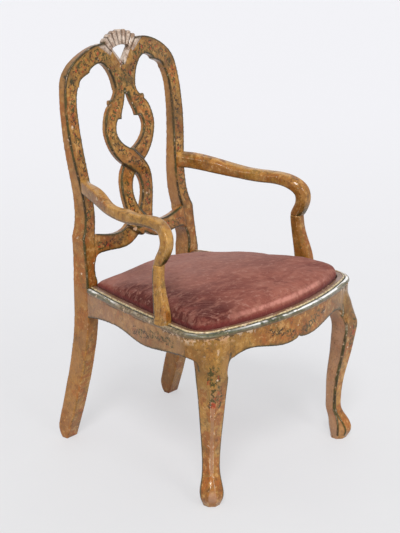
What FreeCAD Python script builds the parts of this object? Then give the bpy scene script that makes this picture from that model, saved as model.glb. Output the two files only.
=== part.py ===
"""Carved and painted armchair with a drop-in seat, in millimetres.

The chair faces -Y, its left side is +X, +Z is up, and the origin lies on the
floor under the middle of the overall width and depth.
"""
import FreeCAD, Part
import math
import os

from FreeCAD import Placement, Rotation, Vector

doc = FreeCAD.newDocument("armchair")
sizes = doc.addObject("Spreadsheet::Sheet", "Sizes")

DRIVING_SIZES = [
    ("shell_rise", "26", "how far the carved shell rises over the crest lobes"),
    ("lobe_rise", "88", "shoulders of the crest rail to the top of its lobes"),
    ("crest_joint_rise", "84", "widest place of the back to the shoulders of the crest rail"),
    ("arch_rise", "41", "shoulders of the crest rail to the top of the two arches"),
    ("neck_drop", "32", "shoulders of the crest rail down to its joint with the splat"),
    ("shoulder_rise", "198", "waist of the back to its widest place"),
    ("crossing_rise", "145", "foot of the splat to the middle of the upper ribbon crossing"),
    ("waist_rise", "89", "bend to the narrowest place of the back"),
    ("splat_foot_rise", "6", "bend to the shoulder between splat and lower rail"),
    ("bend_rise", "114", "top of the seat rim to the step where the upright starts to rake"),
    ("seat_height", "440", "floor to the top of the seat rim"),
    ("seat_tilt", "0.9", "fall of the seat towards the rear in degrees"),
    ("rim_height", "13", "height of the moulded rim above the painted apron"),
    ("apron_depth", "93", "top of the rim to the lowest point where the aprons meet the legs"),
    ("front_lobe_depth", "79", "top of the rim to the two lobes of the front apron"),
    ("front_arch_depth", "61", "top of the rim to the arches of the front apron"),
    ("side_lobe_depth", "82", "top of the rim to the lobe of a side apron"),
    ("side_arch_depth", "66", "top of the rim to the front arch of a side apron"),
    ("rear_rail_depth", "74", "top of the rim to the underside of the rear rail"),
    ("rear_rail_thickness", "34", "thickness of the rear rail"),
    ("rear_ledge_width", "14", "width of the ledge that carries the rear of the loose seat"),
    ("seat_front", "307.5", "origin to the middle of the bowed front rim"),
    ("seat_corner_half_width", "298", "half width of the rim just behind the front corner"),
    ("seat_rear_half_width", "214", "half width of the rim at the rear posts"),
    ("front_bow_radius", "752", "radius of the bowed front rim in plan"),
    ("side_bow_radius", "2800", "radius of the side rims in plan"),
    ("corner_radius", "72", "radius of the front corners in plan"),
    ("rim_width", "31", "width of the rim from its edge to the seat rebate"),
    ("rim_overhang", "3", "how far the rim stands out over the apron"),
    ("rim_step", "5", "height of the step between the two tiers of the rim"),
    ("rim_tier_width", "14", "width of the lower rounded tier of the rim"),
    ("rail_thickness", "46", "thickness of the seat rails in plan"),
    ("rebate_depth", "30", "depth of the rebate that holds the loose seat"),
    ("front_joint_inset", "93", "edge of the rim at the front corner in to the joint of front rail and leg"),
    ("side_joint_setback", "109.5", "middle of the front rim back to the side rail joints"),
    ("post_face", "196.5", "origin to the front of the posts at the seat rails"),
    ("post_depth", "50", "front to back of a post at the seat rails"),
    ("bend_depth", "42", "front to back of a post at the bend"),
    ("waist_depth", "37", "front to back of a post at the waist of the back"),
    ("stile_depth", "24", "front to back of a post at the shoulder of the back"),
    ("toe_reach", "81", "how far the front of a rear foot lies behind the post face"),
    ("foot_depth", "30", "depth of a rear foot from toe to heel"),
    ("heel_height", "34", "floor to the rearmost point of a heel"),
    ("back_rake", "8.36", "angle of the back from the upright in degrees"),
    ("bend_setback", "14.5", "how far the post face at the bend lies behind the post face"),
    ("foot_half_width", "217.5", "half width over the rear feet"),
    ("bend_half_width", "206.5", "half width of the back at the bend"),
    ("waist_half_width", "189.5", "half width of the back at its waist"),
    ("shoulder_half_width", "210.5", "half width of the back at its shoulder"),
    ("crest_joint_half_width", "201.5", "half width of the back at the crest joints"),
    ("foot_width", "38", "width of a rear foot"),
    ("post_width", "38", "width of a post at the seat rails"),
    ("bend_width", "42", "width of a post at the lower back rail"),
    ("waist_width", "34.5", "width of a post at the waist"),
    ("shoulder_width", "40", "width of a post at the shoulder"),
    ("crest_joint_width", "47", "width of a post at the crest joint"),
    ("crest_end_thickness", "24", "thickness of the crest rail at its ends"),
    ("crest_thickness", "17", "thickness of the crest rail in the middle"),
    ("crest_bow", "7", "how far the middle of the crest stands before the posts"),
    ("shell_half_width", "62", "half width of the carved shell"),
    ("neck_half_width", "36", "half width of the neck above the splat"),
    ("vee_rise", "32", "shoulders of the crest rail to the lower tip of the pierced triangle"),
    ("vee_half_width", "31", "half width of the pierced triangle"),
    ("vee_length", "44", "height of the pierced triangle"),
    ("splat_thickness", "14", "thickness of the splat ribbons"),
    ("ribbon_wave", "1.5", "how far a ribbon rises or dips at a crossing"),
    ("loop_half_width", "89", "half width of the upper loop of the splat"),
    ("ribbon_width", "38.5", "width of the splat ribbons"),
    ("lower_loop_half_width", "56", "half width of the lower loop of the splat"),
    ("lower_rail_height", "42", "height of the lower back rail at the middle of its arms"),
    ("lower_rail_thickness", "18", "thickness of the lower back rail"),
    ("lower_rail_bow", "5", "how far the middle of the lower rail stands before the posts"),
    ("tenon_length", "24", "length of the tenons of the seat and back rails"),
    ("tenon_thickness", "10", "thickness of those tenons"),
    ("tenon_gap", "1", "room left at the end of every tenon"),
    ("peg_diameter", "6", "diameter of the pegs through the tenons"),
    ("knee_drop", "26", "lowest point of the aprons down to the fullest point of the front knee"),
    ("knee_width", "56.5", "side of the squared leg at the knee"),
    ("knee_inset", "37.7", "edge of the rim at the front corner in to the middle of the knee"),
    ("leg_arris", "3", "bevel on the side arrises of a front leg"),
    ("knee_setback", "57.6", "middle of the front rim back to the middle of the knee"),
    ("ankle_height", "106", "floor to the slimmest point of a front leg"),
    ("ankle_width", "33.5", "side of the squared leg at the ankle"),
    ("ankle_inset", "15.8", "how far the ankle lies in from the knee, to the side and to the rear"),
    ("scroll_height", "28", "floor to the fullest point of the scroll foot"),
    ("scroll_width", "54.5", "side of the scroll foot"),
    ("scroll_reach", "14", "how far the scroll foot stands out from the ankle"),
    ("pad_width", "40", "side of the flat under the scroll foot"),
    ("arm_rise", "238", "top of the rim to the middle of the arm at the post"),
    ("arm_dip", "21", "how far the arm sinks below its root"),
    ("knuckle_dip", "17", "how far the arm lies below its root before the knuckle"),
    ("arm_root_width", "31", "width of the arm at the post"),
    ("arm_root_depth", "41", "depth of the arm at the post"),
    ("arm_width", "31", "width of the arm in its middle"),
    ("arm_depth", "30", "depth of the arm in its middle"),
    ("arm_root_half_width", "177.5", "middle of the arm at the post from the middle"),
    ("arm_inset", "48", "edge of the rim at the front corner in to the arm at its fullest"),
    ("knuckle_reach", "112", "origin to the front of the arm path at the knuckle"),
    ("knuckle_inset", "37", "edge of the rim at the front corner in to the knuckle"),
    ("knuckle_width", "33", "width of the knuckle"),
    ("knuckle_drop", "91", "arm before the knuckle down to the joint with its support"),
    ("support_top_width", "28", "width of the support at its top"),
    ("support_foot_inset", "23.5", "edge of the rim at the corner in to the support foot"),
    ("support_foot_reach", "110", "origin to the middle of the support foot"),
    ("support_foot_width", "31", "side to side width of the support foot"),
    ("support_foot_depth", "45", "front to back depth of the support foot"),
    ("seat_gap", "2.5", "room between the covered seat and the rebate"),
    ("velvet_thickness", "2", "thickness of the velvet cover"),
    ("seat_bar_thickness", "14", "thickness of the loose seat bars"),
    ("seat_bar_width", "52", "width of the loose seat bars"),
    ("web_width", "50", "width of the jute webbing"),
    ("web_thickness", "1.2", "thickness of the jute webbing"),
    ("cloth_thickness", "0.8", "thickness of the hessian and the dust cover"),
    ("seat_summit_reach", "94", "how far the highest place of the seat lies in front of the origin"),
    ("seat_crown", "55", "height of the stuffing in the middle"),
    ("tack_head", "5", "diameter of the tack heads"),
    ("corner_block_leg", "80", "length of a corner block along the rails"),
    ("corner_block_height", "30", "height of the corner blocks"),
]
for row, (word, value, note) in enumerate(DRIVING_SIZES, start=1):
    sizes.set("A%d" % row, word)
    sizes.set("B%d" % row, value)
    sizes.set("C%d" % row, note)
    sizes.setAlias("B%d" % row, word)
doc.recompute()


def size(word):
    """One driving size from the sheet, in millimetres."""
    return float(getattr(sizes, word))


# Heights above the floor, each from the piece below or beside it, and the rear heels.
seat_height = size("seat_height")
bend_height = seat_height + size("bend_rise")
waist_height = bend_height + size("waist_rise")
shoulder_height = waist_height + size("shoulder_rise")
crest_joint_height = shoulder_height + size("crest_joint_rise")
arch_height = crest_joint_height + size("arch_rise")
neck_joint_height = crest_joint_height - size("neck_drop")
lobe_height = crest_joint_height + size("lobe_rise")
back_height = lobe_height + size("shell_rise")
vee_height = crest_joint_height + size("vee_rise")
vee_top_height = vee_height + size("vee_length")
splat_foot_height = bend_height + size("splat_foot_rise")
crossing_height = splat_foot_height + size("crossing_rise")
bracket_height = seat_height - size("apron_depth")
front_lobe_height = seat_height - size("front_lobe_depth")
front_arch_height = seat_height - size("front_arch_depth")
side_lobe_height = seat_height - size("side_lobe_depth")
side_arch_height = seat_height - size("side_arch_depth")
rear_rail_bottom = seat_height - size("rear_rail_depth")
knee_height = bracket_height - size("knee_drop")
arm_height = seat_height + size("arm_rise")
arm_dip_height = arm_height - size("arm_dip")
arm_front_height = arm_height - size("knuckle_dip")
support_joint = arm_front_height - size("knuckle_drop")
heel_reach = size("post_face") + size("toe_reach") + size("foot_depth")

# Places across and in depth, from the front corner of the rim.
corner_half_width = size("seat_corner_half_width")
front_joint_half_width = corner_half_width - size("front_joint_inset")
side_joint_reach = size("seat_front") - size("side_joint_setback")
knee_place = corner_half_width - size("knee_inset")
ankle_place = knee_place - size("ankle_inset")
scroll_place = ankle_place + size("scroll_reach")
leg_setback = knee_place - size("seat_front") + size("knee_setback")
arm_reach = corner_half_width - size("arm_inset")
knuckle_x = corner_half_width - size("knuckle_inset")
support_foot_half_width = corner_half_width - size("support_foot_inset")


def between(low, high, share):
    """The value that lies a share of the way from low to high."""
    return low + (high - low) * share


def line(start, end):
    return Part.LineSegment(Vector(*start, 0), Vector(*end, 0))


def bow(start, middle, end):
    """Arc through three points."""
    return Part.Arc(Vector(*start, 0), Vector(*middle, 0), Vector(*end, 0))


def sweep(points):
    """Smooth curve through points."""
    curve = Part.BSplineCurve()
    curve.interpolate([Vector(x, y, 0) for x, y in points])
    return curve


def flipped(points):
    """The same points on the other side of the middle, in the opposite order."""
    return [(-x, y) for x, y in reversed(points)]


def plate(name, curves, placement, thickness, word=None, behind=0.0):
    """An outline extruded along its normal, its thickness bound to the sheet."""
    sketch = doc.addObject("Sketcher::SketchObject", name + "_outline")
    for curve in curves:
        sketch.addGeometry(curve, False)
    sketch.Placement = placement
    solid = doc.addObject("Part::Extrusion", name)
    solid.Base = sketch
    solid.DirMode = "Normal"
    solid.Solid = True
    solid.LengthFwd = thickness
    solid.LengthRev = behind
    if word:
        solid.setExpression("LengthFwd", "Sizes." + word)
    return solid


def block(name, corner, extent, placement=None):
    """A box from its lowest corner and its extent, in a frame of its own."""
    solid = doc.addObject("Part::Box", name)
    solid.Length, solid.Width, solid.Height = extent
    solid.Placement = (placement or Placement()).multiply(Placement(Vector(*corner), Rotation()))
    return solid


def common(name, pieces):
    solid = doc.addObject("Part::MultiCommon", name)
    solid.Shapes = pieces
    return solid


def fuse(name, pieces):
    solid = doc.addObject("Part::MultiFuse", name)
    solid.Shapes = pieces
    solid.Refine = True
    return solid


def cut(name, base, tools):
    """Base less all tools, one Part::Cut after another."""
    solid = base
    for number, tool in enumerate(tools, start=1):
        step = doc.addObject("Part::Cut", "%s_cut_%d" % (name, number))
        step.Base = solid
        step.Tool = tool
        solid = step
    return solid


def mirrored(name, source):
    solid = doc.addObject("Part::Mirroring", name)
    solid.Source = source
    solid.Normal = Vector(1, 0, 0)
    return solid


def formed(name, shape, placement=None):
    """A carved or stuffed form that no sketch describes."""
    solid = doc.addObject("Part::Feature", name)
    solid.Shape = shape
    solid.Placement = placement or Placement()
    return solid


def grouped(name, shapes, placement=None):
    """Equal loose pieces that share one sub-part."""
    return formed(name, Part.makeCompound(shapes), placement)


# Frames: an outline drawn from the front, from the side, or on the raked back.
FRONT_VIEW = Rotation(Vector(1, 0, 0), 90)
SIDE_VIEW = Rotation(0.5, 0.5, 0.5, 0.5)
rake = size("back_rake")
bend_face = size("post_face") + size("bend_setback")
BACK_FRAME = Placement(Vector(0, bend_face, bend_height), Rotation(Vector(1, 0, 0), 90 - rake))


def up(height):
    """Distance along the raked back of a height above the floor."""
    return (height - bend_height) / math.cos(math.radians(rake))


def raked(points):
    return [(x, up(z)) for x, z in points]


def back_face(height):
    """Depth of the raked face of the posts at a height."""
    return bend_face + (height - bend_height) * math.tan(math.radians(rake))


# Plan of the seat: one bowed front arc, two corner arcs and two long side arcs.
front_centre = Vector(0, size("front_bow_radius") - size("seat_front"), 0)
side_rear = Vector(size("seat_rear_half_width"), size("post_face"), 0)
side_front = Vector(corner_half_width, size("corner_radius") * 2 - size("seat_front"), 0)
side_chord = side_front - side_rear
side_middle = (side_rear + side_front) * 0.5
side_inward = Vector(side_chord.y, -side_chord.x, 0).normalize()
side_drop = math.sqrt(size("side_bow_radius") ** 2 - (side_chord.Length / 2) ** 2)
side_centre = side_middle + side_inward * side_drop


def corner_centre():
    """Centre of the corner arc that runs smoothly into front and side."""
    front_distance = size("front_bow_radius") - size("corner_radius")
    side_distance = size("side_bow_radius") - size("corner_radius")
    apart = side_centre - front_centre
    along = (front_distance ** 2 - side_distance ** 2 + apart.Length ** 2) / (2 * apart.Length)
    across = math.sqrt(front_distance ** 2 - along ** 2)
    forward = Vector(apart).normalize()
    sideways = Vector(-forward.y, forward.x, 0)
    first = front_centre + forward * along + sideways * across
    second = front_centre + forward * along - sideways * across
    return first if first.y < second.y else second


corner = corner_centre()


def from_centre(centre, radius, toward):
    direction = Vector(toward.x - centre.x, toward.y - centre.y, 0).normalize()
    return centre + direction * radius


def side_x(depth, inset):
    """Half width of the side arc at a depth, moved in by an inset."""
    radius = size("side_bow_radius") - inset
    return side_centre.x + math.sqrt(radius ** 2 - (depth - side_centre.y) ** 2)


def front_y(across, inset):
    """Depth of the front arc at a distance from the middle, moved in by an inset."""
    radius = size("front_bow_radius") - inset
    return front_centre.y - math.sqrt(radius ** 2 - across ** 2)


def seat_outline(inset, rear):
    """Closed plan outline of the seat, moved in by an inset, with a straight rear."""
    corner_radius = size("corner_radius") - inset
    front_end = from_centre(front_centre, size("front_bow_radius") - inset, corner)
    side_end = from_centre(side_centre, size("side_bow_radius") - inset, corner)
    diagonal = (front_end + side_end) * 0.5
    corner_top = from_centre(corner, corner_radius, diagonal)
    side_half = Vector(side_x((rear + side_end.y) / 2, inset), (rear + side_end.y) / 2, 0)
    rear_end = Vector(side_x(rear, inset), rear, 0)

    def mirror(point):
        return Vector(-point.x, point.y, 0)

    return [
        Part.Arc(mirror(front_end), Vector(0, front_y(0, inset), 0), front_end),
        Part.Arc(front_end, corner_top, side_end),
        Part.Arc(side_end, side_half, rear_end),
        Part.LineSegment(rear_end, mirror(rear_end)),
        Part.Arc(mirror(rear_end), mirror(side_half), mirror(side_end)),
        Part.Arc(mirror(side_end), mirror(corner_top), mirror(front_end)),
    ]


def at_height(height):
    return Placement(Vector(0, 0, height), Rotation())


# The seat falls a little towards the rear, about the top edge of the front rim.
seat_pivot = Vector(0, -size("seat_front"), seat_height)
seat_fall = Rotation(Vector(1, 0, 0), -size("seat_tilt"))
SEAT_FRAME = Placement(seat_pivot - seat_fall.multVec(seat_pivot), seat_fall)


def seat_level(height):
    """Frame of a level of the falling seat, named by its height at the front rim."""
    return SEAT_FRAME.multiply(at_height(height))


# Levels and lines that several pieces share.
rim_base = seat_height - size("rim_height")
ledge = seat_height - size("rebate_depth")
tier_top = seat_height - size("rim_step")
rail_low = bracket_height
post_half_width = size("seat_rear_half_width") - size("rim_overhang")
post_inner = post_half_width - size("post_width")
rear_ledge = size("post_face") - size("rear_ledge_width")
leg_joint_x = front_joint_half_width
leg_joint_y = -side_joint_reach


# Rear posts: sawn from the front outline and from the side outline.
def post_front_outline():
    """Front view of the left post, from foot to crest joint."""
    foot = size("foot_half_width")
    rail_top, bend, waist = seat_height, bend_height, waist_height
    shoulder, joint = shoulder_height, crest_joint_height
    bend_outer, waist_outer = size("bend_half_width"), size("waist_half_width")
    shoulder_outer, joint_outer = size("shoulder_half_width"), size("crest_joint_half_width")
    joint_inner = joint_outer - size("crest_joint_width")
    shoulder_inner = shoulder_outer - size("shoulder_width")
    waist_inner = waist_outer - size("waist_width")
    bend_inner = bend_outer - size("bend_width")
    cove_low = splat_foot_height - size("lower_rail_height") * 1.5
    return [
        line((foot, 0), (post_half_width, rail_low)),
        line((post_half_width, rail_low), (post_half_width, rail_top)),
        sweep([(post_half_width, rail_top),
               (between(post_half_width, bend_outer, 0.8), between(rail_top, bend, 0.45)),
               (bend_outer, bend)]),
        sweep([(bend_outer, bend),
               (between(bend_outer, waist_outer, 0.6), between(bend, waist, 0.25)),
               (waist_outer, waist),
               (between(waist_outer, shoulder_outer, 0.66), between(waist, shoulder, 0.5)),
               (shoulder_outer, shoulder),
               (joint_outer, joint)]),
        line((joint_outer, joint), (joint_inner, joint)),
        sweep([(joint_inner, joint),
               (between(joint_inner, shoulder_inner, 0.8), between(joint, shoulder, 0.4)),
               (shoulder_inner, shoulder),
               (between(shoulder_inner, waist_inner, 0.45), between(shoulder, waist, 0.55)),
               (waist_inner, waist),
               (bend_inner, bend + 4)]),
        line((bend_inner, bend + 4), (post_inner - 4, cove_low)),
        sweep([(post_inner - 4, cove_low),
               (post_inner + 5, between(cove_low, rail_top, 0.5)),
               (post_inner, rail_top)]),
        line((post_inner, rail_top), (post_inner, rail_low)),
        line((post_inner, rail_low), (foot - size("foot_width"), 0)),
        line((foot - size("foot_width"), 0), (foot, 0)),
    ]


def toe_y(height):
    """Front of the sabre rear leg: it runs back faster towards the floor."""
    share = (rail_low - height) / rail_low
    return size("post_face") + size("toe_reach") * share ** 1.5


def post_side_outline():
    """Side view of a post, front face first, from the floor up."""
    top, depth = crest_joint_height, size("stile_depth")
    front_low = [(toe_y(rail_low * share), rail_low * share) for share in (0, 0.2, 0.4, 0.6, 0.8, 1)]
    back_at_seat = size("post_face") + size("post_depth")
    heel = (heel_reach, size("heel_height"))
    back_low = [heel] + [
        (toe_y(rail_low * share) + size("post_depth") - 5 * (1 - share), rail_low * share)
        for share in (0.4, 0.6, 0.8)] + [(back_at_seat, rail_low)]
    back_high = [
        (back_face(bend_height) + size("bend_depth"), bend_height),
        (back_face(waist_height) + size("waist_depth"), waist_height),
        (back_face(shoulder_height) + depth, shoulder_height),
        (back_face(top) + depth * math.cos(math.radians(rake)), top - depth * math.sin(math.radians(rake))),
    ]
    return [
        sweep(front_low),
        line((size("post_face"), rail_low), (size("post_face"), seat_height)),
        line((size("post_face"), seat_height), (bend_face, bend_height)),
        line((bend_face, bend_height), (back_face(top), top)),
        line((back_face(top), top), back_high[-1]),
        sweep(back_high[::-1]),
        line(back_high[0], (back_at_seat, seat_height)),
        line((back_at_seat, seat_height), (back_at_seat, rail_low)),
        sweep(back_low[::-1]),
        sweep([heel, (heel_reach - 3, size("heel_height") * 0.45), (heel_reach - 12, 0)]),
        line((heel_reach - 12, 0), front_low[0]),
    ]


post_front = plate("post_front", post_front_outline(),
                   Placement(Vector(0, heel_reach + 5, 0), FRONT_VIEW),
                   heel_reach - size("post_face") + 10)
post_side = plate("post_side", post_side_outline(), Placement(Vector(0, 0, 0), SIDE_VIEW),
                  size("foot_half_width") + 20)
post_blank = common("post_blank", [post_front, post_side])


def tenon(name, corner_at, extent, placement=None, extra=0.0, along=0):
    """A tenon, or its mortise when extra deepens it along one axis in one direction."""
    low = list(corner_at)
    far = list(extent)
    if extra < 0:
        low[along] += extra
    far[along] += abs(extra)
    return block(name, low, far, placement)


# Joints of the back, in the frame of the raked back: across, up, towards the front.
tenon_length = size("tenon_length")
tenon_thickness = size("tenon_thickness")
tenon_gap = size("tenon_gap")
crest_joint_inner = size("crest_joint_half_width") - size("crest_joint_width")
crest_tenon_width = size("crest_joint_width") - 22
crest_tenon_depth = -size("stile_depth") / 2 - tenon_thickness / 2
lower_rail_middle = splat_foot_height - size("lower_rail_height") * 0.75
lower_tenon_depth = -size("lower_rail_thickness") / 2 - tenon_thickness / 2 + 1
rail_end = size("bend_half_width") - size("bend_width")


def crest_tenon(name, extra=0.0):
    corner_at = (crest_joint_inner + 11, up(crest_joint_height) - 2, crest_tenon_depth)
    extent = (crest_tenon_width, tenon_length + 2, tenon_thickness)
    return tenon(name, corner_at, extent, BACK_FRAME, extra, 1)


def lower_rail_tenon(name, extra=0.0):
    corner_at = (rail_end - 4, up(lower_rail_middle) - 14, lower_tenon_depth)
    extent = (tenon_length + 4, 28, tenon_thickness)
    return tenon(name, corner_at, extent, BACK_FRAME, extra, 0)


def riven_peg(start, direction, length):
    """An eight-sided peg, as split and shaved by hand."""
    radius = size("peg_diameter") / 2
    corners = [Vector(radius * math.cos(math.pi * turn / 4), radius * math.sin(math.pi * turn / 4), 0)
               for turn in range(8)]
    prism = Part.Face(Part.makePolygon(corners + corners[:1])).extrude(Vector(0, 0, length))
    prism.Placement = Placement(start, Rotation(Vector(0, 0, 1), direction))
    return prism


def back_peg(across, height, depth_from, depth_to):
    """A peg driven square to the raked back, from one depth to another."""
    start = BACK_FRAME.multVec(Vector(across, up(height), depth_from))
    return riven_peg(start, BACK_FRAME.Rotation.multVec(Vector(0, 0, 1)), depth_to - depth_from)


# Crest rail: two lobes, a carved shell over a pierced triangle, and the neck.
def crest_outline():
    joint = (size("crest_joint_half_width"), crest_joint_height)
    lobe = lobe_height
    shell = size("shell_half_width")
    arch = arch_height
    neck = size("neck_half_width")
    cusp_x = crest_joint_inner - 37
    outer = [joint,
             (joint[0] - 6, joint[1] + 19),
             (joint[0] - 18, joint[1] + 37),
             (between(shell, joint[0], 0.69), between(joint[1], lobe, 0.665)),
             (between(shell, joint[0], 0.44), between(joint[1], lobe, 0.87)),
             (between(shell, joint[0], 0.22), between(joint[1], lobe, 0.975)),
             (shell, lobe)]
    rim = [(shell, lobe), (shell * 0.78, between(lobe, back_height, 0.42)),
           (shell * 0.45, between(lobe, back_height, 0.82)), (0, back_height)]
    inner = [(crest_joint_inner, joint[1]), (crest_joint_inner - 13, joint[1] + 14),
             (crest_joint_inner - 28, joint[1] + 20), (cusp_x, joint[1] + 24)]
    arch_curve = [(cusp_x, joint[1] + 24), (cusp_x - 4, joint[1] + 30),
                  (between(neck, cusp_x, 0.8), arch - 4), (between(neck, cusp_x, 0.62), arch),
                  (between(neck, cusp_x, 0.44), arch - 2), (between(neck, cusp_x, 0.25), arch - 15),
                  (between(neck, cusp_x, 0.11), arch - 34),
                  (neck + 3, arch - 52), (neck, neck_joint_height)]
    half = [outer, rim, inner, arch_curve]
    curves = [sweep(raked(points)) for points in half]
    curves += [sweep(raked(flipped(points))) for points in half]
    low = up(neck_joint_height)
    shoulder = up(joint[1])
    curves.append(line((-neck, low), (neck, low)))
    curves.append(line((crest_joint_inner, shoulder), (joint[0], shoulder)))
    curves.append(line((-joint[0], shoulder), (-crest_joint_inner, shoulder)))
    return curves


def crest_plan():
    """Depths of the crest across its width: it bows forward from the post faces."""
    end = size("crest_joint_half_width") + 8
    bow_depth = size("crest_bow")
    end_back = -size("crest_end_thickness")
    middle_back = bow_depth - size("crest_thickness")
    front = [(end, 0), (end * 0.86, 0), (end * 0.5, bow_depth * 0.8), (end * 0.3, bow_depth),
             (0, bow_depth)]
    back = [(end, end_back), (end * 0.86, end_back), (end * 0.5, between(end_back, middle_back, 0.8)),
            (end * 0.3, middle_back), (0, middle_back)]
    return [sweep(front + flipped(front)[1:]), line((-end, 0), (-end, end_back)),
            sweep(back + flipped(back)[1:]), line((end, end_back), (end, 0))]


def back_slab(name, curves, low, high):
    """A slab whose depth changes across the back, between two heights."""
    turn = BACK_FRAME.multiply(Placement(Vector(0, up(high), 0), FRONT_VIEW))
    return plate(name, curves, turn, up(high) - up(low))


crest_front = plate("crest_front", crest_outline(), BACK_FRAME.multiply(at_height(-60)), 120)
crest_slab = back_slab("crest_slab", crest_plan(), neck_joint_height - 10, back_height + 10)
vee = size("vee_half_width")
vee_top = vee_top_height
vee_curves = [line((0, up(vee_height)), (vee, up(vee_top - 6))),
              bow((vee, up(vee_top - 6)), (0, up(vee_top)), (-vee, up(vee_top - 6))),
              line((-vee, up(vee_top - 6)), (0, up(vee_height)))]
vee_void = plate("vee_void", vee_curves, BACK_FRAME.multiply(at_height(-60)), 120)
crest_blank = common("crest_blank", [crest_front, crest_slab])

# Back splat: two ribbons that cross, one over the other, round two loops.
crossing = crossing_height
loop = size("loop_half_width")
ribbon = size("ribbon_width")
lower_loop = size("lower_loop_half_width")
splat_foot = splat_foot_height
neck_joint = neck_joint_height
splat_front = size("crest_bow")


def ribbon_outline():
    """The ribbon that starts at the right of the neck as seen from behind the camera."""
    neck = size("neck_half_width")
    ear = [(-neck, neck_joint), (-neck - 4, neck_joint - 11), (-neck - 9.5, neck_joint - 18)]
    curl = [(-neck - 9.5, neck_joint - 18), (-neck - 15, neck_joint - 22),
            (-neck - 23, neck_joint - 22),
            (-neck - 26.5, neck_joint - 28), (-neck - 25, neck_joint - 34)]
    outer = [(-neck - 25, neck_joint - 34), (-loop + 20, neck_joint - 41), (-loop + 5, crossing + 118),
             (-loop, crossing + 92), (-loop + 4, crossing + 66), (-loop + 20, crossing + 32),
             (-loop + 51, crossing + 1), (-loop + 75, crossing - 15), (0, crossing - 26)]
    inner_low = [(0, crossing - 26), (lower_loop - ribbon - 4, crossing - 46),
                 (lower_loop - ribbon, crossing - 65), (lower_loop - ribbon - 2, crossing - 85),
                 (0, splat_foot + 25)]
    bottom = [(0, splat_foot + 25), (-10, splat_foot + 12), (-24, splat_foot)]
    outer_low = [(lower_loop - 13, splat_foot), (lower_loop - 6, splat_foot + 38),
                 (lower_loop, crossing - 60),
                 (lower_loop - 9, crossing - 15), (lower_loop - 18, crossing - 2), (18, crossing + 17.6),
                 (0, crossing + 35)]
    inner_edge = -loop + ribbon
    inner = [(0, crossing + 35), (inner_edge + 20.5, crossing + 52), (inner_edge + 9, crossing + 64),
             (inner_edge, crossing + 84), (inner_edge + 2, crossing + 101),
             (inner_edge + 9.5, crossing + 115)]
    hook = [(inner_edge + 9.5, crossing + 115), (inner_edge + 17, crossing + 115), (-27, crossing + 114)]
    heart = [(-27, crossing + 114), (-22, crossing + 133), (-15.5, crossing + 146), (-9.5, crossing + 161),
             (-6, neck_joint - 13)]
    edges = (ear, curl, outer, inner_low, bottom, outer_low, inner, hook, heart)
    curves = [sweep(raked(points)) for points in edges]
    curves.append(line((-24, up(splat_foot)), (lower_loop - 13, up(splat_foot))))
    curves.append(line((-6, up(neck_joint - 13)), (6, up(neck_joint - 13))))
    curves.append(line((6, up(neck_joint - 13)), (6, up(neck_joint))))
    curves.append(line((6, up(neck_joint)), (-neck, up(neck_joint))))
    return curves


def wave_outline(direction):
    """Depth of one ribbon against height: over at one crossing, under at the next."""
    wave = size("ribbon_wave") * direction
    levels = [(up(neck_joint + 5), 0), (up(crossing + 95), 0), (up(crossing), wave),
              (up(between(splat_foot, crossing, 0.5)), 0), (up(splat_foot - 5), -wave)]
    front = [(height, splat_front + rise) for height, rise in levels]
    back = [(height, splat_front - size("splat_thickness") + rise) for height, rise in levels]
    return [sweep(front), line(front[-1], back[-1]), sweep(back), line(back[0], front[0])]


def wave_slab(name, direction):
    turn = BACK_FRAME.multiply(Placement(Vector(-loop - 10, 0, 0), SIDE_VIEW))
    return plate(name, wave_outline(direction), turn, 2 * loop + 20)


def mirrored_curves(curves):
    """The same sketch curves on the other side of the middle."""
    result = []
    for curve in curves:
        copy = curve.copy()
        copy.mirror(Vector(0, 0, 0), Vector(0, 1, 0))
        result.append(copy)
    return result


behind_back = BACK_FRAME.multiply(at_height(-40))
over_front = plate("over_ribbon_front", ribbon_outline(), behind_back, 80)
under_front = plate("under_ribbon_front", mirrored_curves(ribbon_outline()), behind_back, 80)
over_ribbon = common("over_ribbon", [over_front, wave_slab("over_wave", 1)])
under_ribbon = common("under_ribbon", [under_front, wave_slab("under_wave", -1)])

neck_tenon_depth = splat_front - size("splat_thickness") / 2 - tenon_thickness / 4


def neck_tenon(name, extra=0.0):
    corner_at = (-22, up(neck_joint) - 4, neck_tenon_depth)
    return tenon(name, corner_at, (44, tenon_length * 0.75 + 4, tenon_thickness / 2), BACK_FRAME, extra, 1)


def foot_tenon(name, extra=0.0):
    low = up(splat_foot) - tenon_length * 0.75
    return tenon(name, (-16, low, neck_tenon_depth), (32, tenon_length * 0.75 + 4, tenon_thickness / 2),
                 BACK_FRAME, extra * -1, 1)


back_splat = fuse("back_splat_form", [over_ribbon, under_ribbon, neck_tenon("neck_tenon"),
                                      foot_tenon("foot_tenon")])

# Lower back rail: the two ribbons run out into it and cross once more in its middle.
rail_top_arm = splat_foot - 14
rail_low_arm = rail_top_arm - size("lower_rail_height")
cove_start = (post_inner - 4, splat_foot - size("lower_rail_height") * 1.5)


def lower_rail_half():
    """Top and bottom edges of the right half of the lower rail, from the post inwards."""
    end_top = (rail_end, bend_height + 4)
    foot_corner = lower_loop - 13
    top = [end_top, (between(foot_corner, rail_end, 0.72), rail_top_arm + 4),
           (between(foot_corner, rail_end, 0.4), rail_top_arm - 2),
           (between(foot_corner, rail_end, 0.14), rail_top_arm + 3), (foot_corner, splat_foot)]
    cove = [cove_start, (cove_start[0] - 7, rail_low_arm), (cove_start[0] - 24, rail_low_arm + 3)]
    bottom = [(cove_start[0] - 24, rail_low_arm + 3), (between(foot_corner, rail_end, 0.45), rail_low_arm),
              (foot_corner, rail_low_arm + 3), (18, rail_low_arm + 15), (9, rail_low_arm + 20)]
    notch = [(9, rail_low_arm + 20), (5, rail_low_arm + 15), (0, rail_low_arm + 14)]
    return top, cove, bottom, notch


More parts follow.
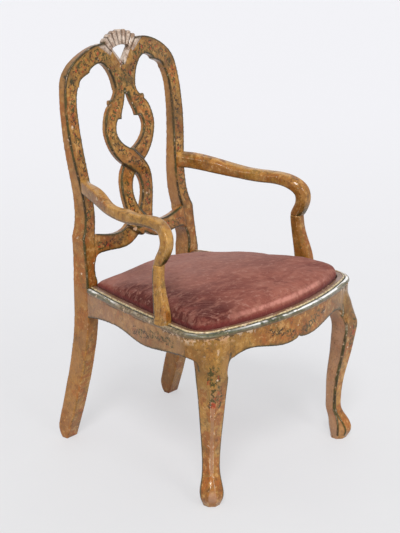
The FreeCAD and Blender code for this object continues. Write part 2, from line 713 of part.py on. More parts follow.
def lower_rail_outline():
    curves = []
    for points in lower_rail_half():
        curves.append(sweep(raked(points)))
        curves.append(sweep(raked(flipped(points))))
    foot_corner = lower_loop - 13
    curves.append(line((-foot_corner, up(splat_foot)), (foot_corner, up(splat_foot))))
    for side in (1, -1):
        end_top = (side * rail_end, up(bend_height + 4))
        curves.append(line(end_top, (side * cove_start[0], up(cove_start[1]))))
    return curves


def lower_rail_plan():
    """The rail bows forward between the posts and is as thick all along."""
    end = cove_start[0] + 8
    bow_depth = size("lower_rail_bow")
    front = [(end, 0), (end * 0.7, bow_depth * 0.5), (0, bow_depth)]
    back = [(x, y - size("lower_rail_thickness")) for x, y in front]
    return [sweep(front + flipped(front)[1:]), line(flipped(front)[-1], flipped(back)[-1]),
            sweep(back + flipped(back)[1:]), line(back[0], front[0])]


def crossing_step():
    """The stretch of the rail that passes under the other ribbon, to be lowered."""
    edge = [(-lower_loop + 11, splat_foot - 10), (-27, splat_foot - 24), (-8, splat_foot - 38),
            (30, splat_foot - 50)]
    far = [(30, splat_foot - 50), (4, splat_foot - 70), (-lower_loop - 34, rail_low_arm - 8)]
    return [sweep(raked(edge)), sweep(raked(far)),
            line((-lower_loop - 34, up(rail_low_arm - 8)), (-lower_loop - 34, up(splat_foot - 4))),
            line((-lower_loop - 34, up(splat_foot - 4)), (-lower_loop + 11, up(splat_foot - 10)))]


lower_front = plate("lower_rail_front", lower_rail_outline(), behind_back, 80)
lower_slab = back_slab("lower_rail_slab", lower_rail_plan(), cove_start[1] - 20, splat_foot + 20)
step_depth = 2 * size("ribbon_wave")
step_tilt = math.degrees(math.atan2(step_depth, lower_loop + 44))
step_frame = BACK_FRAME.multiply(Placement(Vector(0, 0, size("lower_rail_bow") - step_depth),
                                           Rotation(Vector(0, 1, 0), step_tilt)))
under_step = plate("under_step", crossing_step(), step_frame, 20)
lower_blank = common("lower_rail_blank", [lower_front, lower_slab])
lower_stepped = cut("lower_rail_stepped", lower_blank, [under_step])
foot_mortise = foot_tenon("foot_mortise", tenon_gap)
lower_cut = cut("lower_rail_mortised", lower_stepped, [foot_mortise])
lower_tenon = lower_rail_tenon("lower_tenon_left")
lower_back_rail = fuse("lower_back_rail_form", [lower_cut, lower_tenon,
                                                mirrored("lower_tenon_right", lower_tenon)])

crest_mortise = crest_tenon("crest_mortise_left", tenon_gap)
crest_rail = cut("crest_rail_form", crest_blank,
                 [vee_void, crest_mortise, mirrored("crest_mortise_right", crest_mortise),
                  neck_tenon("neck_mortise", tenon_gap)])

# Seat rails: one moulded ring in plan, divided at the front legs and cut to shape below.
def ring_layer(name, low, high, outside, inside):
    """One level of the seat ring between two insets of its plan outline."""
    past_post = size("post_face") + 10
    outer = plate(name + "_outer", seat_outline(outside, past_post), seat_level(low), high - low)
    inner = plate(name + "_inner", seat_outline(inside, past_post + 5), seat_level(low - 1), high - low + 2)
    return cut(name, outer, [inner])


ring = fuse("seat_ring", [
    ring_layer("apron", rail_low - 10, ledge, size("rim_overhang"), size("rail_thickness")),
    ring_layer("rebate_wall", ledge, rim_base, size("rim_overhang"), size("rim_width")),
    ring_layer("rim_lower_tier", rim_base, tier_top, 0.0, size("rim_width")),
    ring_layer("rim_upper_tier", tier_top, seat_height, size("rim_tier_width"), size("rim_width")),
])


def front_apron_void():
    """What is sawn away under the front apron: two arches, two lobes and a small cusp."""
    lobe = front_lobe_height
    arch = front_arch_height
    reach = leg_joint_x + 17
    half = [(reach, rail_low), (reach - 7, between(rail_low, arch, 0.5)),
            (reach - 25, between(rail_low, arch, 0.82)),
            (reach - 57, arch), (reach - 89, between(lobe, arch, 0.8)),
            (reach - 131, between(lobe, arch, 0.3)),
            (reach - 165, lobe), (14, lobe + 2)]
    cusp = [(14, lobe + 2), (6, lobe + 4), (0, lobe + 10)]
    below = rail_low - 10
    return [sweep(half), sweep(flipped(half)), sweep(cusp), sweep(flipped(cusp)),
            line((reach, rail_low), (reach, below)), line((reach, below), (-reach, below)),
            line((-reach, below), (-reach, rail_low))]


def side_apron_void():
    """What is sawn away under a side apron, drawn from the side."""
    lobe = side_lobe_height
    arch = side_arch_height
    front = leg_joint_y - 34
    rear = size("post_face")
    middle = between(front, rear, 0.47)
    below = rail_low - 10
    edge = [(front, rail_low), (front + 7, between(rail_low, arch, 0.75)), (front + 22, arch - 1),
            (front + 45, arch), (between(front, middle, 0.6), between(lobe, arch, 0.4)), (middle, lobe),
            (between(middle, rear, 0.33), arch - 4), (between(middle, rear, 0.6), arch - 5),
            (rear + 1, lobe - 7)]
    return [sweep(edge), line((rear + 1, lobe - 7), (rear + 1, below)),
            line((rear + 1, below), (front, below)), line((front, below), (front, rail_low))]


front_void = plate("front_apron_void", front_apron_void(), Placement(Vector(0, leg_joint_y, 0), FRONT_VIEW),
                   size("seat_front") + leg_joint_y + 20)
side_void = plate("side_apron_void", side_apron_void(),
                  Placement(Vector(post_inner - 40, 0, 0), SIDE_VIEW), 200)
reach = corner_half_width + 40
brackets_void = block("brackets_void", (-reach, -2 * reach, rail_low - 50), (2 * reach, 4 * reach, 50))
shaped_ring = cut("shaped_ring", ring, [front_void, side_void, mirrored("side_apron_void_right", side_void),
                                        brackets_void])
past_front = size("seat_front") + 20
front_zone = block("front_rail_zone", (-leg_joint_x, -past_front, 0), (2 * leg_joint_x, past_front, 600))
side_zone = block("side_rail_zone", (50, leg_joint_y, 0), (reach, size("post_face") - leg_joint_y, 600))
leg_limit = block("leg_limit", (leg_joint_x, -past_front, -1),
                  (reach - leg_joint_x, past_front + leg_joint_y, 600))

rail_tenon_low = between(side_arch_height, ledge, 0.2)
rail_tenon_height = between(side_arch_height, ledge, 0.85) - rail_tenon_low
rail_middle = between(size("rim_overhang"), size("rail_thickness"), 0.5)


def front_rail_tenon(name, extra=0.0):
    middle = front_y(leg_joint_x, rail_middle)
    corner_at = (leg_joint_x - 6, middle - tenon_thickness / 2, rail_tenon_low)
    return tenon(name, corner_at, (tenon_length + 6, tenon_thickness, rail_tenon_height), None, extra, 0)


def side_front_tenon(name, extra=0.0):
    middle = side_x(leg_joint_y, rail_middle)
    corner_at = (middle - tenon_thickness / 2, leg_joint_y - tenon_length, rail_tenon_low)
    return tenon(name, corner_at, (tenon_thickness, tenon_length + 6, rail_tenon_height), None, -extra, 1)


def side_rear_tenon(name, extra=0.0):
    middle = side_x(size("post_face"), rail_middle)
    corner_at = (middle - tenon_thickness / 2, size("post_face") - 6, rail_tenon_low)
    return tenon(name, corner_at, (tenon_thickness, tenon_length + 6, rail_tenon_height), None, extra, 1)


def rear_rail_tenon(name, extra=0.0):
    corner_at = (post_inner - 6, size("post_face") + tenon_length + 3, rail_tenon_low - 6)
    return tenon(name, corner_at, (tenon_length + 6, tenon_thickness, rail_tenon_height), None, extra, 0)


def bevelled_section(centre, across, upward, width, depth, bevels):
    """Closed rectangle about a centre whose corners are bevelled by two alternating amounts."""
    half_w, half_d = width / 2, depth / 2
    points = []
    for number, (sign_w, sign_d) in enumerate(((1, -1), (1, 1), (-1, 1), (-1, -1))):
        bevel = bevels[number % 2]
        on_side = centre + across * (sign_w * half_w) + upward * (sign_d * (half_d - bevel))
        on_end = centre + across * (sign_w * (half_w - bevel)) + upward * (sign_d * half_d)
        points += [on_end, on_side] if sign_w * sign_d < 0 else [on_side, on_end]
    return Part.makePolygon(points + points[:1])


# Front legs: squared cabriole legs that swell at the knee and end in a scroll foot.
def leg_stations():
    """Height, place on the diagonal, side of the square, bevels of front and side arrises."""
    knee, ankle, scroll = knee_height, size("ankle_height"), size("scroll_height")
    knee_w, ankle_w, scroll_w = size("knee_width"), size("ankle_width"), size("scroll_width")
    knee_p, ankle_p, scroll_p = knee_place, ankle_place, scroll_place
    pad_w = size("pad_width")
    arris = size("leg_arris")
    return [
        (0, scroll_p - 3, pad_w, pad_w * 0.29, pad_w * 0.29),
        (scroll * 0.5, scroll_p - 0.5, between(pad_w, scroll_w, 0.6), scroll_w * 0.25, scroll_w * 0.25),
        (scroll, scroll_p, scroll_w, scroll_w * 0.27, scroll_w * 0.27),
        (between(scroll, ankle, 0.4), between(scroll_p, ankle_p, 0.45), between(scroll_w, ankle_w, 0.65),
         arris * 2.6, arris * 2.1),
        (between(scroll, ankle, 0.7), ankle_p + 1, ankle_w + 1, arris * 2.1, arris * 1.3),
        (ankle, ankle_p, ankle_w, arris * 2, arris),
        (between(ankle, knee, 0.3), between(ankle_p, knee_p, 0.17), between(ankle_w, knee_w, 0.22),
         arris * 2.1, arris),
        (between(ankle, knee, 0.6), between(ankle_p, knee_p, 0.66), between(ankle_w, knee_w, 0.52),
         arris * 2.2, arris),
        (between(ankle, knee, 0.83), between(ankle_p, knee_p, 0.94), between(ankle_w, knee_w, 0.77),
         arris * 2.6, arris),
        (knee, knee_p, knee_w, arris * 3.3, arris),
        (rail_low - 1, knee_p - 6.5, knee_w + 7, arris * 5, arris * 2.5),
        (between(rail_low, rim_base, 0.25), knee_p - 13.5, knee_w + 17, arris * 7, arris * 4.5),
        (between(rail_low, rim_base, 0.5), knee_p - 19.5, knee_w + 26, arris * 9, arris * 6),
        (rim_base, knee_p - 23.5, knee_w + 28, arris * 10, arris * 7),
    ]


def leg_form():
    sections = []
    for height, place, side, front_bevel, side_bevel in leg_stations():
        centre = Vector(place, leg_setback - place, height)
        bevels = (front_bevel, side_bevel)
        sections.append(bevelled_section(centre, Vector(1, 0, 0), Vector(0, 1, 0), side, side, bevels))
    return Part.makeLoft(sections, True, False)


leg_loft = formed("leg_loft", leg_form())
rebate_room = plate("rebate_room", seat_outline(size("rim_width"), size("post_face")), seat_level(ledge), 60)
leg_trimmed = cut("leg_trimmed", common("leg_in_corner", [leg_loft, leg_limit]), [rebate_room])
leg_block = common("leg_block", [shaped_ring, leg_limit])
leg_blank = fuse("leg_blank", [leg_trimmed, leg_block])
front_leg = cut("front_leg_form", leg_blank, [front_rail_tenon("front_mortise", tenon_gap),
                                              side_front_tenon("side_front_mortise", tenon_gap)])

# Arms: a long double curve that turns down over a knuckle on to its support.
support_foot = Vector(support_foot_half_width, -size("support_foot_reach"), 0)
knuckle_y = -size("knuckle_reach")
arm_root = Vector(size("arm_root_half_width"), back_face(arm_height), arm_height)


def arm_stations():
    """Points of the arm path with section width and depth, from the post to the support."""
    high, dip, front = arm_height, arm_dip_height, arm_front_height
    root_w, mid_w, knuckle_w = size("arm_root_width"), size("arm_width"), size("knuckle_width")
    root_d, mid_d = size("arm_root_depth"), size("arm_depth")
    root_x, root_y = arm_root.x, arm_root.y
    top_w = size("support_top_width")
    return [
        (root_x, root_y, high, root_w, root_d),
        (between(root_x, arm_reach, 0.3), between(root_y, knuckle_y, 0.145), between(high, dip, 0.12),
         root_w + 1, root_d - 3),
        (between(root_x, arm_reach, 0.64), between(root_y, knuckle_y, 0.325), between(high, dip, 0.62),
         mid_w + 1, mid_d + 4),
        (between(root_x, arm_reach, 0.88), between(root_y, knuckle_y, 0.5), between(high, dip, 0.97),
         mid_w, mid_d),
        (arm_reach - 2, between(root_y, knuckle_y, 0.67), between(dip, front, 0.35), mid_w, mid_d),
        (arm_reach - 1, between(root_y, knuckle_y, 0.83), front, mid_w, mid_d),
        (arm_reach + 1, knuckle_y + 22, between(front, support_joint, 0.08), knuckle_w, mid_d + 1),
        (between(arm_reach, knuckle_x, 0.6), knuckle_y + 6, between(front, support_joint, 0.22),
         knuckle_w, mid_d + 2),
        (knuckle_x - 1, knuckle_y, between(front, support_joint, 0.4), knuckle_w, mid_d + 1),
        (knuckle_x + 1, knuckle_y + 2.5, between(front, support_joint, 0.6), knuckle_w - 1, mid_d),
        (knuckle_x + 2.5, knuckle_y + 11, between(front, support_joint, 0.8), knuckle_w - 3, mid_d),
        (knuckle_x + 2.5, knuckle_y + 21, support_joint, top_w, top_w),
    ]


def path_loft(stations, first_direction, last_direction):
    """Loft of rounded sections square to the path through the stations."""
    points = [Vector(*station[:3]) for station in stations]
    sections = []
    for number, station in enumerate(stations):
        before = points[max(number - 1, 0)]
        after = points[min(number + 1, len(points) - 1)]
        direction = after - before
        if number == 0:
            direction = first_direction
        if number == len(points) - 1:
            direction = last_direction
        direction = Vector(direction).normalize()
        sideways = Vector(1, 0, 0) - direction * direction.x
        sideways.normalize()
        upward = sideways.cross(direction)
        width, depth = station[3:]
        bevels = (min(width, depth) * 0.1, min(width, depth) * 0.29)
        sections.append(bevelled_section(points[number], sideways, upward, width, depth, bevels))
    return Part.makeLoft(sections, True, False)


face_direction = Vector(0, -math.cos(math.radians(rake)), math.sin(math.radians(rake)))
arm_loft = formed("arm_loft", path_loft(arm_stations(), face_direction, Vector(0, 0, -1)))
arm_root_frame = Placement(Vector(arm_root.x, arm_root.y, arm_root.z), BACK_FRAME.Rotation)


def arm_tenon(name, extra=0.0):
    corner_at = (-tenon_thickness / 2, -12, -tenon_length * 0.8)
    return tenon(name, corner_at, (tenon_thickness, 24, tenon_length * 0.8 + 4), arm_root_frame, -extra, 2)


support_top = Vector(knuckle_x + 2.5, knuckle_y + 21, support_joint)


def support_stations():
    """Centre, width and depth of the level sections of a support, from the top down."""
    top_w = size("support_top_width")
    foot_w, foot_d = size("support_foot_width"), size("support_foot_depth")
    low = rim_base
    return [
        (support_top.x, support_top.y, support_joint, top_w, top_w),
        (between(support_top.x, support_foot.x, 0.28), support_top.y, between(support_joint, low, 0.16),
         top_w - 1, top_w + 1),
        (between(support_top.x, support_foot.x, 0.52), between(support_top.y, support_foot.y, 0.2),
         between(support_joint, low, 0.36), top_w, top_w + 3),
        (between(support_top.x, support_foot.x, 0.8), between(support_top.y, support_foot.y, 0.56),
         between(support_joint, low, 0.58), top_w + 2, between(top_w, foot_d, 0.55)),
        (between(support_top.x, support_foot.x, 0.95), between(support_top.y, support_foot.y, 0.9),
         between(support_joint, low, 0.8), foot_w, foot_d - 2),
        (support_foot.x, support_foot.y, low, foot_w, foot_d),
    ]


support_loft = formed("support_loft", path_loft(support_stations(), Vector(0, 0, -1), Vector(0, 0, -1)))


def support_tenon(name, extra=0.0):
    corner_at = (support_foot.x - tenon_thickness / 2, support_foot.y - 15, rim_base - tenon_length)
    return tenon(name, corner_at, (tenon_thickness, 30, tenon_length + 5), None, -extra, 2)


def support_dowel(name, length):
    dowel = doc.addObject("Part::Cylinder", name)
    dowel.Radius = size("peg_diameter") * 0.8
    dowel.Height = length
    dowel.Placement = Placement(Vector(support_top.x, support_top.y, support_joint - 14), Rotation())
    return dowel


arm_fused = fuse("arm_fused", [arm_loft, arm_tenon("arm_tenon")])
arm = cut("arm_form", arm_fused, [support_dowel("arm_dowel_hole", 29)])
support_fused = fuse("support_fused", [support_loft, support_tenon("support_tenon"),
                                       support_dowel("support_dowel", 28)])


# Seat rails with their tenons; the side rail is let out for the foot of the arm support.
front_tenon = front_rail_tenon("front_tenon_left")
front_rail = fuse("front_rail_form", [common("front_rail_blank", [shaped_ring, front_zone]), front_tenon,
                                      mirrored("front_tenon_right", front_tenon)])
side_blank = common("side_rail_blank", [shaped_ring, side_zone])
side_fused = fuse("side_rail_fused", [side_blank, side_front_tenon("side_front_tenon"),
                                      side_rear_tenon("side_rear_tenon")])
screw_radius = 2.2
screw_length = 26.0
screw_head = 4.5


def support_screw():
    """Countersunk iron screw driven from inside the rail into the foot of the support."""
    level = (ledge + rim_base) / 2
    start = Vector(side_x(support_foot.y, size("rim_width")), support_foot.y, level)
    outward = Vector(1, 0, 0)
    head = Part.makeCone(screw_head, screw_radius, screw_head, start, outward)
    shank = Part.makeCylinder(screw_radius, screw_length - screw_head, start + outward * screw_head, outward)
    return head.fuse(shank)


screw = formed("support_screw", support_screw())
support_mortise = support_tenon("support_mortise", tenon_gap)
side_rail = cut("side_rail_form", side_fused, [support_fused, support_mortise, screw])
arm_support = cut("arm_support_form", support_fused, [screw])
screws = grouped("support_screws", [screw.Shape, screw.Shape.mirror(Vector(0, 0, 0), Vector(1, 0, 0))])

rear_tenon = rear_rail_tenon("rear_tenon_left")
rear_rail_height = ledge - rear_rail_bottom
rear_rail_board = block("rear_rail_board", (-post_inner, size("post_face") - 3, rear_rail_bottom),
                        (2 * post_inner, size("rear_rail_thickness") + 3, rear_rail_height), SEAT_FRAME)
rear_rail_back = cut("rear_rail_back", rear_rail_board, [side_zone, mirrored("side_zone_right", side_zone)])
between_rails = plate("between_side_rails", seat_outline(size("rail_thickness"), size("post_face") + 3),
                      seat_level(rear_rail_bottom), rear_rail_height)
rear_rail_ledge = common("rear_rail_ledge", [between_rails, block(
    "rear_ledge_board", (-reach, rear_ledge, rear_rail_bottom),
    (2 * reach, size("rear_ledge_width") + 3, rear_rail_height), SEAT_FRAME)])
post_corner = block("post_corner", (-reach, size("post_face"), 0),
                    (reach - post_inner, size("post_depth"), 600))
rear_rail_blank = cut("rear_rail_blank", fuse("rear_rail_boards", [rear_rail_back, rear_rail_ledge]),
                      [post_corner, mirrored("post_corner_left", post_corner)])
rear_rail = fuse("rear_rail_form", [rear_rail_blank, rear_tenon, mirrored("rear_tenon_right", rear_tenon)])

# Pegs: driven through the tenons of the crest, the lower rail and the side rails.
crest_peg_x = crest_joint_inner + 11 + crest_tenon_width / 2
side_peg_start = Vector(post_inner, size("post_face") + tenon_length * 0.6,
                        rail_tenon_low + rail_tenon_height / 2)
left_pegs = [
    back_peg(crest_peg_x, crest_joint_height + tenon_length / 2, -size("stile_depth"), -3),
    back_peg(rail_end + tenon_length / 2, lower_rail_middle, -size("bend_depth") + 2, -3),
    riven_peg(side_peg_start, Vector(1, 0, 0), size("post_width") - 6),
]
all_pegs = left_pegs + [item.mirror(Vector(0, 0, 0), Vector(1, 0, 0)) for item in left_pegs]
pegs = grouped("joint_pegs_form", all_pegs)

# Posts: the sawn blank with the tenon for the crest and the mortises for all that meets it.
post_tenoned = fuse("post_tenoned", [post_blank, crest_tenon("crest_tenon")])
post = cut("post_form", post_tenoned, [
    lower_rail_tenon("lower_mortise", tenon_gap),
    side_rear_tenon("side_rear_mortise", tenon_gap),
    rear_rail_tenon("rear_mortise", tenon_gap),
    arm_tenon("arm_mortise", tenon_gap),
    pegs,
])
side_rail_pegged = cut("side_rail_pegged", side_rail, [pegs])
crest_pegged = cut("crest_pegged", crest_rail, [pegs])
lower_pegged = cut("lower_pegged", lower_back_rail, [pegs])

# Corner blocks: glued inside the four corners of the frame.
inside = plate("inside_outline", seat_outline(size("rail_thickness"), rear_ledge), seat_level(rail_low), 100)
block_low = rail_tenon_low - 4
block_leg = size("corner_block_leg")


def corner_block(name, points, keep_out):
    curves = [line(points[number - 1], points[number]) for number in range(len(points))]
    prism = plate(name + "_prism", curves, seat_level(block_low), 40, "corner_block_height")
    trimmed = common(name + "_trimmed", [prism, inside])
    return cut(name, trimmed, keep_out)


front_block_points = [(leg_joint_x - block_leg, -size("seat_front")),
                      (leg_joint_x - block_leg, front_y(leg_joint_x - block_leg, size("rail_thickness"))),
                      (side_x(leg_joint_y + block_leg, size("rail_thickness")), leg_joint_y + block_leg),
                      (reach, leg_joint_y + block_leg), (reach, -size("seat_front"))]
front_block = corner_block("front_block", front_block_points, [leg_limit])
rear_block_inner = side_x(rear_ledge, size("rail_thickness"))
rear_block = corner_block("rear_block", [(rear_block_inner - block_leg * 0.7, rear_ledge),
                                         (reach, rear_ledge), (reach, rear_ledge - block_leg * 0.7),
                                         (side_x(rear_ledge - block_leg * 0.7, size("rail_thickness")),
                                          rear_ledge - block_leg * 0.7)], [side_blank])

# Loose seat: a lapped frame, webbing, hessian, stuffing and a tacked velvet cover.
velvet = size("velvet_thickness")
cover_inset = size("rim_width") + size("seat_gap")
bar_inset = cover_inset + velvet
bar_low = ledge + velvet
bar_high = bar_low + size("seat_bar_thickness")
seat_rear = size("post_face") - size("seat_gap")
bar_rear = seat_rear - velvet
bar_width = size("seat_bar_width")
bar_thickness = size("seat_bar_thickness")
opening_front = front_y(0, bar_inset) + bar_width + 14
opening_rear = bar_rear - bar_width
opening_half = side_x(opening_rear, bar_inset) - bar_width
opening_half_front = side_x(opening_front, bar_inset) - bar_width

seat_board = plate("seat_board", seat_outline(bar_inset, bar_rear), seat_level(bar_low), bar_thickness,
                   "seat_bar_thickness")
opening_points = [(-opening_half_front, opening_front), (opening_half_front, opening_front),
                  (opening_half, opening_rear), (-opening_half, opening_rear)]
opening_curves = [line(opening_points[number - 1], opening_points[number]) for number in range(4)]
seat_opening = plate("seat_opening", opening_curves, seat_level(bar_low - 5), bar_thickness + 10)
seat_ring_board = cut("seat_ring_board", seat_board, [seat_opening])


def zone(name, x_from, x_to, y_from, y_to, low, high):
    return block(name, (x_from, y_from, low), (x_to - x_from, y_to - y_from, high - low), SEAT_FRAME)


lap = bar_low + bar_thickness / 2
front_bar = cut("seat_bar_front_form", common("seat_bar_front_zone", [
    seat_ring_board, zone("front_bar_zone", -reach, reach, -reach * 2, opening_front, bar_low, bar_high)]),
    [zone("front_lap_left", opening_half_front, reach, -reach * 2, opening_front, bar_low - 1, lap),
     zone("front_lap_right", -reach, -opening_half_front, -reach * 2, opening_front, bar_low - 1, lap)])
rear_bar = cut("seat_bar_rear_form", common("seat_bar_rear_zone", [
    seat_ring_board, zone("rear_bar_zone", -reach, reach, opening_rear, reach, bar_low, bar_high)]),
    [zone("rear_lap_left", opening_half, reach, opening_rear, reach, bar_low - 1, lap),
     zone("rear_lap_right", -reach, -opening_half, opening_rear, reach, bar_low - 1, lap)])
side_bar = cut("seat_bar_side_form", common("seat_bar_side_zone", [
    seat_ring_board, zone("side_bar_zone", 20, reach, -reach * 2, reach, bar_low, bar_high)]),
    [front_bar, rear_bar,
     zone("side_bar_front_end", 0, opening_half_front, -reach * 2, opening_front, bar_low - 1, bar_high + 1),
     zone("side_bar_rear_end", 0, opening_half, opening_rear, reach, bar_low - 1, bar_high + 1)])


def webbing_strips():
    """Three bands from front to back under three bands from side to side."""
    strips = []
    web, thin = size("web_width"), size("web_thickness")
    front_edge = opening_front - 20
    rear_edge = opening_rear + 20
    for number in (-1, 0, 1):
        middle = number * (opening_half_front * 0.62)
        start = Vector(middle - web / 2, front_edge, bar_high)
        strips.append(Part.makeBox(web, rear_edge - front_edge, thin, start))
    for number in (0, 1, 2):
        middle = between(opening_front, opening_rear, 0.2 + 0.3 * number)
        half = side_x(middle, bar_inset) - bar_width + 20
        start = Vector(-half, middle - web / 2, bar_high + thin)
        strips.append(Part.makeBox(2 * half, web, thin, start))
    return strips


webs = grouped("webbing_form", webbing_strips(), SEAT_FRAME)
hessian_low = bar_high + 2 * size("web_thickness")
cloth = size("cloth_thickness")
hessian = plate("hessian_form", seat_outline(bar_inset + 8, bar_rear - 8), seat_level(hessian_low), cloth,
                "cloth_thickness")
padding_low = hessian_low + cloth
crown_radius = 950.0
cross_radius = 1900.0


def crowned_form(inset, rear, low, grow):
    """Stuffed seat: straight in the rebate, rolled at the edge, domed and highest before its middle."""
    rim_top = seat_height
    roll = [(low, 0), (rim_top, 0), (rim_top + 11, -1.5), (rim_top + 21, 2.5), (rim_top + 28, 11),
            (rim_top + 54, 35)]
    sections = []
    for height, draw in roll:
        wire = Part.Wire([curve.toShape() for curve in seat_outline(inset + draw, rear - max(draw, 0))])
        wire.translate(Vector(0, 0, height))
        sections.append(wire)
    body = Part.makeLoft(sections, True, True)
    summit = padding_low + size("seat_crown") + grow
    middle = Vector(0, -size("seat_summit_reach"), summit - cross_radius - grow)
    dome = Part.makeTorus(cross_radius - crown_radius, crown_radius + grow, middle, Vector(0, 1, 0))
    return body.common(dome)


padding = formed("padding_form", crowned_form(bar_inset, bar_rear, padding_low, 0), SEAT_FRAME)
cover_outer = formed("cover_outer", crowned_form(cover_inset, seat_rear, ledge, velvet), SEAT_FRAME)
cover_void = plate("cover_void", seat_outline(bar_inset, bar_rear), seat_level(bar_low),
                   padding_low - bar_low)
fold_inset = size("rail_thickness") + 14
cover_opening = plate("cover_opening", seat_outline(fold_inset, bar_rear - 22), seat_level(ledge - 5), 20)
cover = cut("cover_form", cover_outer, [padding, cover_void, cover_opening])
dust_cover = plate("dust_cover_form", seat_outline(fold_inset + 1, bar_rear - 24),
                   seat_level(bar_low - cloth), cloth, "cloth_thickness")


def cover_tacks():
    """Square cut tacks that hold the turned-under velvet to the underside of the seat frame."""
    tacks = []
    tack_inset = bar_inset + 18
    half_head = size("tack_head") / 2
    places = [(across, front_y(across, tack_inset)) for across in (-160, -80, 0, 80, 160)]
    places += [(across, bar_rear - 12) for across in (-120, -40, 40, 120)]
    for depth in (-160, -70, 20, 110):
        half = side_x(depth, tack_inset)
        places += [(-half, depth), (half, depth)]
    for across, depth in places:
        corner_at = Vector(across - half_head, depth - half_head, ledge + velvet - 1)
        head = Part.makeBox(2 * half_head, 2 * half_head, 1, corner_at)
        shank = Part.makeBox(2, 2, 9, Vector(across - 1, depth - 1, ledge + velvet - 0.5))
        tacks.append(head.fuse(shank).removeSplitter())
    return tacks


tacks = grouped("tacks_form", cover_tacks(), SEAT_FRAME)
tacked_cover = cut("tacked_cover", cover, [tacks])
tacked_front_bar = cut("tacked_front_bar", front_bar, [tacks])
tacked_rear_bar = cut("tacked_rear_bar", rear_bar, [tacks])
tacked_side_bar = cut("tacked_side_bar", side_bar, [tacks])

# Every piece under its own name; pieces on the right are mirrored from the left.
pieces = {
    "rear_post_left": post,
    "crest_rail": crest_pegged,
    "back_splat": back_splat,
    "lower_back_rail": lower_pegged,
    "rear_seat_rail": rear_rail,
    "front_seat_rail": front_rail,
    "side_seat_rail_left": side_rail_pegged,
    "front_leg_left": front_leg,
    "arm_left": arm,
    "arm_support_left": arm_support,
    "corner_block_front_left": front_block,
    "corner_block_rear_left": rear_block,
    "joint_pegs": pegs,
    "arm_support_screws": screws,
    "seat_frame_front": tacked_front_bar,
    "seat_frame_rear": tacked_rear_bar,
    "seat_frame_left": tacked_side_bar,
    "seat_webbing": webs,
    "seat_hessian": hessian,
    "seat_padding": padding,
    "velvet_cover": tacked_cover,
    "cover_tacks": tacks,
    "dust_cover": dust_cover,
}
for name in [name for name in pieces if name.endswith("_left")]:
    pieces[name[:-5] + "_right"] = mirrored(name[:-5] + "_right_form", pieces[name])

doc.recompute()
for item in doc.Objects:
    if item.TypeId != "Spreadsheet::Sheet" and ("Invalid" in item.State or "Error" in item.State):
        raise RuntimeError("could not be built: " + item.Name)
os.makedirs("parts", exist_ok=True)
for name, piece in pieces.items():
    piece.Label = name
    shape = piece.Shape
    if shape.isNull() or not shape.isValid() or not shape.Solids:
        raise RuntimeError("no sound solid: " + name)
    shape.exportStep("parts/" + name + ".step")
    print(name, len(shape.Solids), round(shape.Volume))
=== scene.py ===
"""Looks of a carved and painted armchair with a loose velvet seat, in metres."""

import math

import bmesh
import bpy
import numpy as np
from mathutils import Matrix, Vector
from mathutils.kdtree import KDTree

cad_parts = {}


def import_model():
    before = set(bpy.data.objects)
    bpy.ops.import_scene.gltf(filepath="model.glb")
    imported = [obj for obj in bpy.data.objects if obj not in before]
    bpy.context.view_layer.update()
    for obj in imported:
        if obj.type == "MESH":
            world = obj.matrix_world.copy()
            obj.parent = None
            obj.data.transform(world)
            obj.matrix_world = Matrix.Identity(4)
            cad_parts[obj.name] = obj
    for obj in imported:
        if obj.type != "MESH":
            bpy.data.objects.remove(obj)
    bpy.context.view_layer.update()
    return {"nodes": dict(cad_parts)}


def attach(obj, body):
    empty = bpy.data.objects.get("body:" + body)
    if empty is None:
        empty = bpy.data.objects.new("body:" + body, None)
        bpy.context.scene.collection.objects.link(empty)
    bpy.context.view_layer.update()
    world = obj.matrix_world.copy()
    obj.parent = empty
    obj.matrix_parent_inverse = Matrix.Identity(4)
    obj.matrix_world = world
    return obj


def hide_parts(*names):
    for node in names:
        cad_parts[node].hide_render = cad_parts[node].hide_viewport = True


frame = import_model()


# Rear posts: two beech posts from heel to crest, sawn to a sabre leg below and a
# waisted stile above. Gesso, ochre paint, dark green lining on the front edges and
# small flower sprigs lie under a brown varnish; the arrises are rubbed by use.
def adjusted(thing, settings):
    """The thing, with each of the settings made."""
    for key, value in settings.items():
        setattr(thing, key, value)
    return thing


class Wire:
    """A value inside a finish; arithmetic on it adds Math nodes."""

    def __init__(self, finish, socket):
        self.finish, self.socket = finish, socket

    def maths(self, operation, first, second=0.0):
        return self.finish.node("ShaderNodeMath", {"operation": operation}, {0: first, 1: second})

    def __add__(self, other):
        return self.maths("ADD", self, other)

    __radd__ = __add__

    def __sub__(self, other):
        return self.maths("SUBTRACT", self, other)

    def __rsub__(self, other):
        return self.maths("SUBTRACT", other, self)

    def __mul__(self, other):
        return self.maths("MULTIPLY", self, other)

    __rmul__ = __mul__

    def __truediv__(self, other):
        return self.maths("DIVIDE", self, other)

    def __abs__(self):
        return self.maths("ABSOLUTE", self)

    def higher(self, other):
        return self.maths("MAXIMUM", self, other)

    def rounded_down(self):
        return self.maths("FLOOR", self)

    def sine(self):
        return self.maths("SINE", self)


